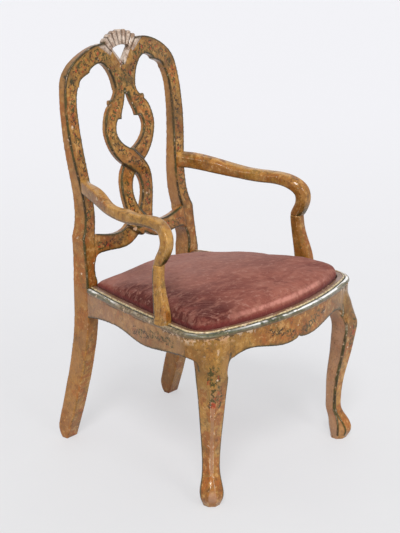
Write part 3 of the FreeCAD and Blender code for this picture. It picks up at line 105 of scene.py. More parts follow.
class Finish:
    """A material or a world under construction: one method adds any node."""

    def __init__(self, name, library="materials", surface="Principled BSDF", place="Object"):
        self.material = getattr(bpy.data, library).new(name)
        self.material.use_nodes = True
        self.tree = self.material.node_tree
        self.surface = self.tree.nodes[surface]
        self.place = self.node("ShaderNodeTexCoord", output=place)

    def set(self, node, values):
        """Links or sets sockets by name; a colour of three numbers is one from a paint chart."""
        for key, value in values.items():
            socket = node.inputs[key]
            if isinstance(value, Wire):
                self.tree.links.new(value.socket, socket)
            elif socket.type == "RGBA" and len(value) == 3:
                socket.default_value = colour(*value)
            else:
                socket.default_value = value

    def node(self, kind, settings=None, values=None, output=0):
        made = adjusted(self.tree.nodes.new(kind), settings or {})
        self.set(made, values or {})
        return Wire(self, made.outputs[output])

    def noise(self, scale, detail=3.0, roughness=0.55, place=None, distortion=0.0, output=0):
        """Cloudy value about 0.5 over the piece."""
        return self.node("ShaderNodeTexNoise", None, {
            "Vector": place or self.place, "Scale": scale, "Detail": detail,
            "Roughness": roughness, "Distortion": distortion}, output)

    def stretched(self, scales, turn=0.0):
        """The piece's own coordinates, turned about the upright and stretched along the axes."""
        turned = self.node("ShaderNodeMapping", None, {
            "Vector": self.place, "Rotation": (0.0, 0.0, turn)})
        return self.node("ShaderNodeMapping", None, {"Vector": turned, "Scale": scales})

    def step(self, value, start, end, low=0.0, high=1.0):
        """Smooth change from low to high while value runs from start to end."""
        return self.node("ShaderNodeMapRange", {"interpolation_type": "SMOOTHSTEP"}, {
            "Value": value, "From Min": start, "From Max": end, "To Min": low, "To Max": high})

    def attribute(self, name):
        return self.node("ShaderNodeAttribute", {"attribute_name": name}, output="Fac")

    def mix(self, share, first, second):
        """First colour turning into second by a share."""
        return self.node("ShaderNodeMix", {"data_type": "RGBA"}, {
            0: share, 6: first, 7: second}, 2)

    def coated(self, base, coats):
        """The base colour under coats of others, each a share and a colour, in their order."""
        for share, coat in coats:
            base = self.mix(share, base, coat)
        return base

    def parts(self, value, kind="ShaderNodeSeparateXYZ"):
        """The three parts of a vector or colour."""
        split = self.node(kind, None, {0: value}).socket.node
        return [Wire(self, split.outputs[number]) for number in range(3)]

    def dabs(self, along, across, chance, marks, nudge=0.006):
        """1 inside brush dabs, else 0: ellipses with half sizes and a turn, nudged by chance."""
        painted = None
        for number, (centre_u, centre_v, long, wide, turn) in enumerate(marks):
            du = along - centre_u + (chance[number % 3] - 0.5) * nudge
            dv = across - centre_v + (chance[(number + 1) % 3] - 0.5) * nudge
            c, s = math.cos(turn), math.sin(turn)
            forward, sideways = (du * c + dv * s) / long, (dv * c - du * s) / wide
            mark = self.step(forward * forward + sideways * sideways, 1.25, 0.8)
            painted = mark if painted is None else painted.higher(mark)
        return painted

    def bump(self, height, distance, strength):
        return self.node("ShaderNodeBump", None, {
            "Height": height, "Distance": distance, "Strength": strength})

    def finish(self, values):
        self.set(self.surface, values)
        return self.material


def colour(red, green, blue):
    """A colour as written on a paint chart, 0 to 255, turned into light."""
    channels = np.array([red, green, blue]) / 255
    light = np.where(channels <= 0.04045, channels / 12.92, ((channels + 0.055) / 1.055) ** 2.4)
    return (*light, 1.0)


def aged_paint():
    """Ochre oil paint over pinkish gesso with green lining, sprigs, chips and brown varnish;
    painted shade in the hollows and under the arms, a painted highlight on the arm tops.
    """
    f = Finish("aged_ochre_paint")
    broad = f.noise(5.5, 4.0, 0.6)
    middle = f.noise(17.0, 5.0, 0.65, distortion=0.6)
    blots = f.noise(31.0, 4.0, 0.65, distortion=1.2)
    small = f.noise(64.0, 4.0, 0.7)
    fine = f.noise(150.0, 4.0, 0.7)
    streaks = f.noise(1.0, 4.0, 0.6, f.stretched((210.0, 210.0, 26.0)))

    # Silvered carving of the shell, darker along the bottoms of its flutes.
    silver = f.coated(f.mix(f.step(small, 0.4, 0.6), (208, 190, 174), (148, 122, 104)), [
        (f.step(fine, 0.45, 0.75, 0.0, 0.5), (122, 94, 76)),
        (f.attribute("groove"), (58, 38, 26))])

    # Sprigs: on each length of vine dark leaves, buds and at times a rust flower, no two alike.
    wobble = f.parts(f.noise(110.0, 3.0, 0.7, output="Color"), "ShaderNodeSeparateColor")
    along = f.attribute("vine_along") + (wobble[0] - 0.5) * 0.022
    across = f.attribute("vine_across") + (wobble[1] - 0.5) * 0.018
    period = 0.021
    cell = (along / period).rounded_down()
    local = along - cell * period
    drawn = f.node("ShaderNodeTexWhiteNoise", {"noise_dimensions": "1D"}, {"W": cell}, "Color")
    chance = f.parts(drawn, "ShaderNodeSeparateColor")
    sideways = across - (chance[0] - 0.5) * 0.009
    leaves = f.dabs(local, sideways, chance, (
        (0.0040, 0.0036, 0.0056, 0.0024, 0.9), (0.0052, -0.0042, 0.0052, 0.0022, -0.8),
        (0.0165, 0.0038, 0.0054, 0.0022, 2.2), (0.0172, -0.0036, 0.0050, 0.0024, -2.3),
        (0.0108, 0.0082, 0.0040, 0.0020, 0.3), (0.0112, -0.0084, 0.0040, 0.0020, -0.2),
        (0.0012, 0.0004, 0.0050, 0.0015, 0.1)))
    flowers = f.dabs(local, sideways, chance, ((0.0112, -0.0008, 0.0040, 0.0028, 0.4),))
    buds = f.dabs(local, sideways, chance, (
        (0.0160, 0.0060, 0.0018, 0.0015, 0.0), (0.0070, -0.0062, 0.0019, 0.0015, 0.0)))
    red = (flowers * f.step(chance[1], 0.34, 0.4)).higher(buds) * f.attribute("vine_red")
    near = f.attribute("vine_near")
    touches = f.step(f.noise(200.0, 3.0, 0.6, distortion=1.5), 0.56, 0.59)
    touches = touches * f.step(near, 0.25, 0.5) * f.step(f.noise(45.0, 2.0), 0.42, 0.5)
    kept = f.step(f.noise(60.0, 4.0, 0.75), 0.42, 0.5) * f.step(near, 0.0, 0.08)

    # Dark green lining along the chosen edges, broken by wear, in a browned glaze.
    lining = f.attribute("lining") + (f.noise(110.0, 3.0, 0.6) - 0.5) * 0.34
    glaze = f.step(lining, 0.2, 0.75, 0.0, 0.7) * f.step(blots, 0.4, 0.56, 0.3, 1.0)
    line = f.step(lining, 0.62, 0.74) * f.step(f.noise(26.0, 4.0, 0.7), 0.36, 0.46, 0.35, 1.0)

    # Grime in random patches, painted shade darkening the hollows, and specks of dirt; rubbed
    # arrises and chips down to the gesso.
    grime_and_hollow_shade = f.step(f.noise(8.0, 5.0, 0.7, distortion=0.4), 0.5, 0.74, 0.0, 0.45)
    grime_and_hollow_shade = grime_and_hollow_shade.higher(f.step(f.attribute("hollow"), 0.15, 0.7, 0.0, 0.8))
    specks = f.step(f.noise(230.0, 3.0, 0.6), 0.6, 0.66)
    specks = specks * f.step(f.noise(15.0, 3.0), 0.42, 0.6, 0.2, 0.9)
    arris = f.attribute("arris")
    rubbed = f.step(arris + (fine - 0.5) * 0.5, 0.78, 0.98)
    rubbed = rubbed * f.step(f.noise(13.0, 4.0, 0.65), 0.5, 0.62)
    chips = f.step(f.noise(62.0, 2.0, 0.4), 0.72, 0.735) * f.step(f.noise(9.0, 2.0), 0.46, 0.6)
    nicks = f.step(f.noise(140.0, 2.0, 0.5), 0.63, 0.67) * f.step(arris, 0.6, 0.85)
    flakes = f.attribute("flaking") * f.step(f.noise(85.0, 3.0, 0.6), 0.50, 0.525)
    lost = (rubbed * 0.75).higher(chips).higher(nicks * 0.7).higher(flakes)
    crackle = f.node("ShaderNodeTexVoronoi", {"feature": "DISTANCE_TO_EDGE"}, {
        "Vector": f.stretched((1.0, 1.0, 0.45)), "Scale": 150.0})
    cracks = f.step(crackle, 0.05, 0.0) * f.step(f.noise(20.0, 2.0), 0.48, 0.6)

    ochre = f.mix(f.step(broad, 0.42, 0.58), (150, 94, 36), (176, 126, 56))
    base = f.coated(ochre, [
        (f.step(middle, 0.5, 0.6, 0.0, 0.75), (158, 84, 30)),
        (f.step(blots, 0.53, 0.63, 0.0, 0.6), (118, 94, 42)),
        (f.step(small, 0.54, 0.64, 0.0, 0.6), (98, 60, 28)),
        (f.step(streaks, 0.54, 0.68, 0.0, 0.5), (92, 54, 26)),
        (f.step(small, 0.46, 0.38, 0.0, 0.55), (206, 160, 98)),
        (f.attribute("plain") * f.step(middle, 0.4, 0.6, 0.7, 0.25), (158, 108, 64)),
        (f.attribute("mauve") * f.step(middle, 0.3, 0.7, 0.9, 0.55), (166, 126, 100)),
        # Pale gold: painted highlight on the arms' upward faces and knuckle fronts, with rub wear
        # on their ridges.
        (f.attribute("gilt") * f.step(blots, 0.58, 0.46, 0.0, 0.75), (200, 152, 82)),
        # Dulled varnish on the crest, rails and legs; on the arms and supports painted shade on
        # their sides and undersides.
        (f.attribute("dulled") * f.step(middle, 0.42, 0.56, 0.5, 1.0), (104, 82, 44)),
        (f.attribute("bare"), silver),
        (leaves.higher(touches) * kept * 0.92,
         f.mix(f.step(chance[2], 0.35, 0.65), (22, 18, 8), (46, 54, 16))),
        (red * kept * 0.85, f.mix(f.step(fine, 0.4, 0.6), (142, 30, 12), (178, 74, 32))),
        (glaze, (84, 66, 24)),
        (line * 0.94, f.mix(f.step(middle, 0.46, 0.54), (24, 24, 8), (52, 54, 20))),
        # Grime colour, also laid as painted shade in the hollows.
        (grime_and_hollow_shade, (66, 44, 22)),
        (specks * 0.75, (54, 36, 20)),
        (lost * 0.8, f.mix(f.step(middle, 0.4, 0.6), (196, 150, 112), (228, 206, 178))),
        (cracks * 0.28, (60, 38, 20))])
    relief = f.noise(34.0, 5.0, 0.62) * 0.8 + small * 0.35 + fine * 0.2 + streaks * 0.2
    relief = relief - lost * 0.6 - cracks * 0.4
    return f.finish({
        "Base Color": base, "Roughness": f.step(middle, 0.3, 0.7, 0.36, 0.55) + lost * 0.25,
        "Normal": f.bump(relief, 0.0016, 0.9), "Specular IOR Level": 0.4,
        "Specular Tint": (226, 176, 110), "Coat Weight": 0.5, "Coat Roughness": 0.12})


def read(elements, name, size=3, kind=np.float32):
    """The same values of every vertex, edge or triangle of a mesh, one row for each."""
    flat = np.empty(len(elements) * size, kind)
    elements.foreach_get(name, flat)
    return flat.reshape(-1, size)


def points_of(mesh):
    return read(mesh.vertices, "co").astype(float)


def normals_of(mesh):
    return read(mesh.vertex_normals, "vector").astype(float)


def move(mesh, place):
    """Puts the corners of a mesh at their new places."""
    mesh.vertices.foreach_set("co", place.astype(np.float32).ravel())
    mesh.update()


def mesh_of(name, points, faces):
    mesh = bpy.data.meshes.new(name)
    mesh.from_pydata(points, [], faces)
    mesh.validate()
    mesh.update()
    return mesh


def placed(name, data):
    """A new object in the scene."""
    made = bpy.data.objects.new(name, data)
    bpy.context.scene.collection.objects.link(made)
    return made


def applied(piece):
    """Makes what the modifiers of a piece show its own mesh, smooth and without paint."""
    bpy.context.view_layer.update()
    graph = bpy.context.evaluated_depsgraph_get()
    mesh = bpy.data.meshes.new_from_object(piece.evaluated_get(graph))
    piece.modifiers.clear()
    piece.data = mesh
    mesh.name = piece.name
    mesh.materials.clear()
    mesh.polygons.foreach_set("use_smooth", np.ones(len(mesh.polygons), bool))
    return mesh


def store(mesh, **layers):
    """Keeps one value for each corner of a mesh under each name, for its paint."""
    for name, values in layers.items():
        layer = mesh.attributes.get(name) or mesh.attributes.new(name, "FLOAT", "POINT")
        layer.data.foreach_set("value", np.asarray(values, np.float32))


def ramp(values, start, end):
    """0 up to the start, 1 beyond the end, even between them; the end may be the lower one."""
    return np.clip((values - start) / (end - start), 0, 1)


def node_mesh(node, grain=2e-6):
    """Corners of a CAD node, merged within a grain, and its triangles, as two arrays."""
    source = frame["nodes"][node].data
    source.calc_loop_triangles()
    triangles = read(source.loop_triangles, "vertices", 3, np.int32)
    cells, where = np.unique(np.round(points_of(source) / grain).astype(np.int64), axis=0,
                             return_inverse=True)
    triangles = where.reshape(-1)[triangles]
    one, two, three = triangles.T
    return cells * grain, triangles[(one != two) & (two != three) & (one != three)]


def arris_samples(points, triangles, least_angle=32.0, spacing=0.0012):
    """Points at an even spacing along the edges where two faces meet at more than an angle."""
    corners = points[triangles]
    normals = np.cross(corners[:, 1] - corners[:, 0], corners[:, 2] - corners[:, 0])
    normals /= np.maximum(np.linalg.norm(normals, axis=1, keepdims=True), 1e-15)
    pairs = [triangles[:, [0, 1]], triangles[:, [1, 2]], triangles[:, [2, 0]]]
    edges = np.sort(np.concatenate(pairs), axis=1)
    owner = np.tile(np.arange(len(triangles)), 3)
    order = np.lexsort((edges[:, 1], edges[:, 0]))
    edges, owner = edges[order], owner[order]
    first = np.flatnonzero(np.all(edges[1:] == edges[:-1], axis=1))
    cosine = np.sum(normals[owner[first]] * normals[owner[first + 1]], axis=1)
    sharp = edges[first[cosine < math.cos(math.radians(least_angle))]]
    starts, ends = points[sharp[:, 0]], points[sharp[:, 1]]
    counts = np.ceil(np.linalg.norm(ends - starts, axis=1) / spacing).astype(int)
    counts = np.maximum(counts, 1)
    which = np.repeat(np.arange(len(sharp)), counts)
    before = np.repeat(np.cumsum(counts) - counts, counts)
    share = (np.arange(counts.sum()) - before + 0.5) / counts[which]
    return starts[which] + (ends - starts)[which] * share[:, None]


def closeness(points, samples, reach):
    """1 on a sample, falling evenly to 0 at the reach."""
    if len(samples) == 0:
        return np.zeros(len(points))
    tree = KDTree(len(samples))
    for number, sample in enumerate(samples):
        tree.insert(sample, number)
    tree.balance()
    return ramp(np.array([tree.find(point)[2] for point in points]), reach, 0)


def neighbour_mean(mesh):
    """A function that gives, for each corner, the mean of a value over its neighbours."""
    one, two = read(mesh.edges, "vertices", 2, np.int32).T
    corners = len(mesh.vertices)
    number = np.bincount(one, minlength=corners) + np.bincount(two, minlength=corners)

    def mean(values):
        total = np.bincount(one, values[two], corners) + np.bincount(two, values[one], corners)
        return total / np.maximum(number, 1)

    return mean


def hollows(mesh, full=0.00007, rounds=4):
    """1 in a tight hollow, -1 on a ridge: the rise of the neighbours over each corner's plane.

    The rise is evened out over some rounds, and counts in full from a given height.
    """
    mean = neighbour_mean(mesh)
    place, normals = points_of(mesh), normals_of(mesh)
    rise = sum((mean(place[:, axis]) - place[:, axis]) * normals[:, axis] for axis in range(3))
    for _ in range(rounds):
        rise = mean(rise)
    return np.clip(rise / full, -1, 1)


def eased(mesh, weight, rounds=60, step=0.7):
    """Moves corners by their weight towards the mean of their neighbours, again and again."""
    mean = neighbour_mean(mesh)
    place = points_of(mesh)
    for _ in range(rounds):
        middle = np.column_stack([mean(place[:, axis]) for axis in range(3)])
        place = place + (middle - place) * weight[:, None] * step
    move(mesh, place)


def vine(mesh, flat, paths, facing, reach, red=1.0, size=1.0):
    """Stores how far along and across the nearest painted vine each corner of the piece lies.

    flat holds two coordinates of every corner on the painted face; for each straight run of a
    path the foot of the perpendicular gives the distance along and the signed distance across.
    The vines follow each other at a gap. size enlarges the painted leaves.
    """
    gap, far_off = 0.1, 0.05
    best = np.full(len(flat), 1.0)
    along = np.zeros(len(flat))
    across = np.full(len(flat), far_off)
    start = 0.0
    for path in paths:
        path = np.array(path, float)
        for first, second in zip(path[:-1], path[1:]):
            run = second - first
            length = np.linalg.norm(run)
            unit = run / length
            offset = flat - first
            forward = np.clip(offset @ unit, 0, length)
            side = offset[:, 1] * unit[0] - offset[:, 0] * unit[1]
            distance = np.linalg.norm(offset - forward[:, None] * unit, axis=1)
            nearer = distance < best
            best = np.where(nearer, distance, best)
            along = np.where(nearer, start + forward, along)
            across = np.where(nearer, side, across)
            start += length
        start += gap
    store(mesh, vine_along=along / size, vine_across=across / size,
          vine_near=ramp(best, reach, 0) * (facing > 0.5), vine_red=np.full(len(flat), red))


def sawn_off(mesh, place, direction):
    """Takes away what lies beyond a plane and closes the cut."""
    work = bmesh.new()
    work.from_mesh(mesh)
    bmesh.ops.remove_doubles(work, verts=work.verts, dist=1e-6)
    bmesh.ops.bisect_plane(work, geom=work.verts[:] + work.edges[:] + work.faces[:], dist=1e-6,
                           plane_co=place, plane_no=direction, clear_outer=True)
    rim_edges = [edge for edge in work.edges if edge.is_boundary]
    bmesh.ops.holes_fill(work, edges=rim_edges, sides=0)
    bmesh.ops.triangulate(work, faces=work.faces[:])
    work.to_mesh(mesh)
    work.free()


# Facet sizes of plain, shaped and finely carved pieces.
COARSE, MEDIUM, FINE = 0.0018, 0.0016, 0.0014


def worked(name, node, voxel=COARSE, rubs=5, shift=None, cut_above=None, ease=None):
    """A carved piece: the CAD form with even facets and hand-rubbed arrises.

    It hands back its mesh, the places of the corners and samples along the CAD form's arrises.
    shift moves chosen corners of joint faces a little into the neighbour, so that no groove
    opens at the joint; cut_above is a plane above which the wood is taken away; ease gives
    the weight with which the surface is smoothed further.
    """
    points, triangles = node_mesh(node)
    samples = arris_samples(points, triangles)
    if shift:
        points = shift(points)
        samples = samples[np.all(np.abs(shift(samples) - samples) < 1e-6, axis=1)]
    rough = mesh_of(name, points, triangles)
    if cut_above:
        sawn_off(rough, *cut_above)
    piece = placed(name, rough)
    adjusted(piece.modifiers.new("even", "REMESH"), {
        "mode": "VOXEL", "voxel_size": voxel, "use_smooth_shade": True})
    adjusted(piece.modifiers.new("rubbed", "SMOOTH"), {"factor": 0.5, "iterations": rubs})
    done = applied(piece)
    bpy.data.meshes.remove(rough)
    done.materials.append(ochre_paint)
    if ease:
        eased(done, ease(points_of(done), normals_of(done)))
    place = points_of(done)
    # How hollow each corner lies, which sets the painted shade in the hollows.
    store(done, arris=closeness(place, samples, 0.008), hollow=hollows(done))
    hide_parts(node)
    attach(piece, "chair_frame")
    return done, place, samples


ochre_paint = aged_paint()

RAKE = math.radians(8.36)
BEND = np.array([0.0, 0.211, 0.554])
forwards = np.array([0, -math.cos(RAKE), math.sin(RAKE)])
upwards = np.array([0, math.sin(RAKE), math.cos(RAKE)])
CREST_JOINT, NECK_JOINT, SPLAT_FOOT = 0.925, 0.893, 0.560
POST_FACE = 0.1965
SEAT_HEIGHT, LINED_FROM = 0.440, 0.43
# How far from a joint's plane a corner still counts as lying on it, and how far painted
# lines stay off a joint; the least share of a face's direction that counts as its front.
NEAR, OFF_JOINT, FACING = 0.0006, 0.0005, 0.3


def on_back(points):
    """Across, up and forward coordinates on the raked back, from the middle of its bend."""
    away = points - BEND
    return np.column_stack([points[:, 0], away @ upwards, away @ forwards])


def back_height(points):
    """Height above the floor at which points would stand on the raked face."""
    return BEND[2] + on_back(points)[:, 1] * math.cos(RAKE)


def post_front(height):
    """Depth of the front face of a post: upright, leaning from the seat to the bend, raked."""
    share = (height - SEAT_HEIGHT) / (BEND[2] - SEAT_HEIGHT)
    leaning = POST_FACE + share * (BEND[1] - POST_FACE)
    raked = BEND[1] + (height - BEND[2]) * math.tan(RAKE)
    return np.where(height > BEND[2], raked, np.where(height > SEAT_HEIGHT, leaning, POST_FACE))


def lined(mesh, samples, reach=0.012):
    """Lining paint that fades with the distance from the samples of the chosen arrises."""
    store(mesh, lining=closeness(points_of(mesh), samples, reach))


def before(samples, depth):
    """Whether samples lie on the raked face or no deeper than this behind it."""
    return on_back(samples)[:, 2] > -depth


def sprigged(mesh, paths, reach, flat=None):
    """Vines on the front face of a piece of the back and plain paint on its other faces."""
    place = points_of(mesh)
    facing = normals_of(mesh) @ forwards
    flat = np.column_stack([place[:, 0], back_height(place)]) if flat is None else flat
    vine(mesh, flat, paths, facing, reach)
    store(mesh, plain=facing < FACING)
    return facing


def into_crest(points):
    """Lifts the top ends of a post half a millimetre into the crest rail."""
    top = (np.abs(back_height(points) - CREST_JOINT) < NEAR) & (on_back(points)[:, 2] < 0.0002)
    return points + top[:, None] * upwards * 0.0005


# Places across and up on the front face, as on all painted vines of the back.
stile = [(0.186, 0.575), (0.175, 0.61), (0.1725, 0.643), (0.176, 0.69), (0.183, 0.76),
         (0.1895, 0.83), (0.187, 0.88), (0.180, 0.92)]
for side, sign in (("left", 1), ("right", -1)):
    post, place, samples = worked("post_" + side, "rear_post_" + side, shift=into_crest)
    front_edge = np.abs(samples[:, 1] - post_front(samples[:, 2])) < 0.002
    free_height = (samples[:, 2] > LINED_FROM) & (samples[:, 2] < CREST_JOINT - OFF_JOINT)
    lined(post, samples[front_edge & free_height])
    sprigged(post, [stile], 0.011, place[:, [0, 2]] * (sign, 1))


# Crest rail: one board, bowed in plan and tenoned on to the posts, with two lobes and a
# pierced, fluted shell between them. The shell is silvered; the lobes carry sprigs.
SHELL_CENTRE, SHELL_SPAN, FLUTES = 0.948, 0.93, 9
SHELL_INNER, SHELL_RIM, SHELL_HALF = 0.050, 0.074, 0.06
FLUTE_RISE, FLUTE_SINK, RIM_NOTCH = 0.0062, 0.0042, 0.0034
VEE_FOOT, VEE_TIP, VEE_TOP, VEE_HALF, VEE_BAR = 0.950, 0.957, 1.001, 0.031, 0.012
SHOULDER = 0.14


def into_posts(points):
    """Pushes the shoulders of the crest rail down into the posts, along their slanting edges."""
    at_joint = np.abs(back_height(points) - CREST_JOINT) < NEAR
    shoulder = at_joint & (np.abs(points[:, 0]) > SHOULDER)
    slant = (np.sign(points[:, 0]) * 0.001)[:, None] * (1, 0, 0)
    return points + shoulder[:, None] * (slant - upwards * 0.006)


def mirror(path):
    """The same path on the other side of the chair."""
    return [(-x, z) for x, z in path]


lobe = [(0.179, 0.925), (0.168, 0.950), (0.146, 0.970), (0.118, 0.984), (0.088, 0.990),
        (0.064, 0.984)]
inner_lobe = [(0.150, 0.958), (0.128, 0.972), (0.100, 0.980), (0.070, 0.974), (0.052, 0.972)]
stem = [(0.046, 0.962), (0.034, 0.945), (0.022, 0.922), (0.014, 0.895)]
neck = [(0.0, 0.950), (0.0, 0.895)]
crest, place, samples = worked("crest", "crest_rail", voxel=FINE, rubs=6, shift=into_posts)
back, height = on_back(place), back_height(place)
turn = np.arctan2(back[:, 0], height - SHELL_CENTRE)
radius = np.hypot(back[:, 0], height - SHELL_CENTRE)
in_shell = (ramp(np.abs(turn), SHELL_SPAN, SHELL_SPAN - 0.03)
            * ramp(radius, SHELL_INNER, SHELL_INNER + 0.004))
wave = np.abs(np.sin((turn / SHELL_SPAN + 1) / 2 * math.pi * FLUTES))
crest_vines = [lobe, mirror(lobe), inner_lobe, mirror(inner_lobe), stem, mirror(stem), neck]
front = sprigged(crest, crest_vines, 0.017)
across, edge_height = np.abs(samples[:, 0]), back_height(samples)
beyond_shell = (across > SHELL_HALF) | (edge_height < VEE_FOOT)
off_posts = (across < SHOULDER) | (edge_height > CREST_JOINT + 2 * OFF_JOINT)
off_joints = off_posts & (edge_height > NECK_JOINT + 2 * OFF_JOINT)
lined(crest, samples[beyond_shell & off_joints & before(samples, 0.008)])
rise = (FLUTE_RISE * wave ** 0.7 - FLUTE_SINK) * in_shell
rise = rise * ramp(radius, SHELL_INNER, SHELL_INNER + 0.012)
rim_out = np.column_stack([np.sin(turn), np.cos(turn)[:, None] * upwards[None, 1:]])
at_rim = ramp(radius, SHELL_RIM, SHELL_RIM + 0.008) * in_shell
carved = place + (rise * np.clip(front, 0, 1))[:, None] * forwards
move(crest, carved - (RIM_NOTCH * (1 - wave) * at_rim)[:, None] * rim_out)
past_vee = np.abs(back[:, 0]) - VEE_HALF * ramp(height, VEE_TIP, VEE_TOP)
vee_bar = ramp(past_vee, VEE_BAR, VEE_BAR - 0.002) * ramp(height, VEE_FOOT, VEE_FOOT + 0.004)
vee_bar = vee_bar * (height < VEE_TOP + 0.005)
bar_line = ramp(np.abs(past_vee - VEE_BAR + 0.0005), 0.0018, 0)
bar_line = bar_line * (height > VEE_FOOT) * (height < VEE_TOP - 0.006)
store(crest, bare=np.clip(in_shell * 1.4 + vee_bar, 0, 1),
      groove=np.clip(in_shell * ramp(wave, 0.5, 0.1) + bar_line, 0, 1),
      dulled=np.full(len(front), 0.45))


# Back splat: two flat ribbons sawn from one board that cross over and under each other
# round two loops, tenoned into the crest above and the lower rail below.
def into_neck(points):
    """Pushes the shoulders of the splat 4 mm into the crest and the lower rail."""
    height = back_height(points)
    at_neck, at_foot = (np.abs(height - joint) < NEAR for joint in (NECK_JOINT, SPLAT_FOOT))
    return points + (at_neck * 1.0 - at_foot)[:, None] * upwards * 0.004


splat, place, samples = worked("splat", "back_splat", voxel=FINE, shift=into_neck)
edge_height = back_height(samples)
between = ((edge_height > SPLAT_FOOT + 2 * OFF_JOINT)
           & (edge_height < NECK_JOINT - 2 * OFF_JOINT))
lined(splat, samples[between & before(samples, 0)])
upper_wave = [(0.022, 0.889), (0.032, 0.866), (0.048, 0.846), (0.064, 0.824), (0.070, 0.797),
              (0.064, 0.770), (0.046, 0.744)]
ribbon = mirror(upper_wave) + [(-0.016, 0.717), (0.016, 0.700), (0.032, 0.676), (0.037, 0.645),
                               (0.033, 0.612), (0.024, 0.582), (0.016, 0.562)]
other = upper_wave + [(0.030, 0.731)]
other_low = [(-0.024, 0.690), (-0.034, 0.672), (-0.037, 0.645), (-0.033, 0.612),
             (-0.026, 0.585), (-0.020, 0.566)]
sprigged(splat, [ribbon, other, other_low], 0.0135)


# Lower back rail: a shaped cross rail on two brackets. It carries the foot of the splat and
# is tenoned and pegged into both posts.
JOINT_PUSH = 0.003
RAIL_END, POST_INSIDE, SPLAT_HALF = 0.1585, 0.1755, 0.043


def pushed_out(points, chosen):
    """Chosen points moved 3 mm away from the middle of the chair."""
    return points + (chosen * np.sign(points[:, 0]) * JOINT_PUSH)[:, None] * (1, 0, 0)


def rail_into_posts(points):
    """Pushes the ends of the lower rail into the posts."""
    across = np.abs(points[:, 0])
    return pushed_out(points, (across > RAIL_END) & (across < POST_INSIDE))


lower, place, samples = worked("lower_rail", "lower_back_rail", MEDIUM, shift=rail_into_posts)
across = np.abs(samples[:, 0])
at_splat = (across < SPLAT_HALF) & (back_height(samples) > SPLAT_FOOT - 2 * OFF_JOINT)
free = (across < RAIL_END - OFF_JOINT) & ~at_splat
lined(lower, samples[free & before(samples, 0.004)])
bracket = [(0.050, 0.534), (0.085, 0.525), (0.120, 0.522), (0.152, 0.524)]
sprigged(lower, [bracket, mirror(bracket)], 0.0125)


# Seat rails and front legs: beech boards and squared cabriole legs, tenoned together.
# Their aprons are sawn to lobes; the green lining runs along the lower edge and on down
# the side arrises of the legs, and sprigs lie beside the cusp, on the sides and on the knees.
RIM_FRONT = -0.3075
RIM_HEIGHT = 0.013
TILT = math.radians(0.9)
SEAT_PIVOT = np.array([0.0, RIM_FRONT, SEAT_HEIGHT])
UP_SEAT = np.array([0.0, math.sin(TILT), math.cos(TILT)])
ALONG_SEAT = np.array([0.0, math.cos(TILT), -math.sin(TILT)])
LEG_JOINT_X, LEG_JOINT_Y = 0.205, -0.198
LOW_EDGE, BRACKET_FOOT = 0.392, 0.344
LEG_SETBACK = 0.0104
BRACKET_SIDE, BRACKET_FRONT, BRACKET_REAR = 0.228, -0.25, -0.234
LEG_HEIGHTS = [0.0, 0.028, 0.060, 0.106, 0.170, 0.235, 0.284, 0.321, 0.346]
LEG_SQUARES = [0.040, 0.0545, 0.041, 0.0335, 0.0385, 0.0455, 0.051, 0.0565, 0.0635]
rim_cut = (Vector(SEAT_PIVOT - UP_SEAT * (RIM_HEIGHT - 0.0008)), Vector(UP_SEAT))


def level(points):
    """Height of points over the plane of the seat rim, which falls a little to the rear."""
    return (points - SEAT_PIVOT) @ UP_SEAT


# The plan of the seat: a front arc, a side arc and the corner arc that touches both.
FRONT_RADIUS, SIDE_RADIUS, CORNER_RADIUS = 0.752, 2.8, 0.072
REAR_HALF, CORNER_HALF = 0.214, 0.298
front_centre = np.array([0.0, FRONT_RADIUS + RIM_FRONT])
side_rear = np.array([REAR_HALF, POST_FACE])
side_front = np.array([CORNER_HALF, 2 * CORNER_RADIUS + RIM_FRONT])
chord = side_front - side_rear
inward = np.array([chord[1], -chord[0]]) / np.linalg.norm(chord)
to_centre = math.sqrt(SIDE_RADIUS ** 2 - (chord @ chord) / 4)
side_centre = (side_rear + side_front) / 2 + inward * to_centre
apart = side_centre - front_centre
span = np.linalg.norm(apart)
reach_front, reach_side = FRONT_RADIUS - CORNER_RADIUS, SIDE_RADIUS - CORNER_RADIUS
forward = (reach_front ** 2 - reach_side ** 2 + span ** 2) / (2 * span)
sideways = math.sqrt(reach_front ** 2 - forward ** 2)
unit = apart / span
across = np.array([-unit[1], unit[0]])
corner_options = [front_centre + unit * forward + across * way for way in (sideways, -sideways)]
corner_centre = min(corner_options, key=lambda point: point[1])


def from_edge(points):
    """How far points lie in from the plan outline of the seat, by the arc that each faces."""
    plan = np.column_stack([np.abs(points[:, 0]), points[:, 1]])
    arcs = [(FRONT_RADIUS, front_centre), (SIDE_RADIUS, side_centre),
            (CORNER_RADIUS, corner_centre)]
    front, side, corner = (radius - np.linalg.norm(plan - centre, axis=1)
                           for radius, centre in arcs)
    away = plan - corner_centre
    to_front, to_side = corner_centre - front_centre, corner_centre - side_centre
    past_front = away[:, 0] * to_front[1] - away[:, 1] * to_front[0] < 0
    past_side = away[:, 0] * to_side[1] - away[:, 1] * to_side[0] > 0
    return np.where(past_front & past_side, corner, np.where(past_side, front, side))


def on_low_edge(samples, lowest=0.0):
    """Whether samples lie on the lower edge of the outer face of an apron."""
    height = samples[:, 2]
    return (height >= lowest) & (height < LOW_EDGE) & (from_edge(samples) < 0.006)


def at(values, joint, within=0.0002):
    """Whether values lie within a small distance of a joint."""
    return np.abs(values - joint) < within


def front_ends(points):
    """Pushes the ends of the front rail into the legs."""
    return pushed_out(points, at(np.abs(points[:, 0]), LEG_JOINT_X))


def side_ends(points):
    """Pushes the ends of a side rail into its post and its leg."""
    ends = at(points[:, 1], POST_FACE) * 1.0 - at(points[:, 1], LEG_JOINT_Y)
    return points + ends[:, None] * (0, JOINT_PUSH, 0)


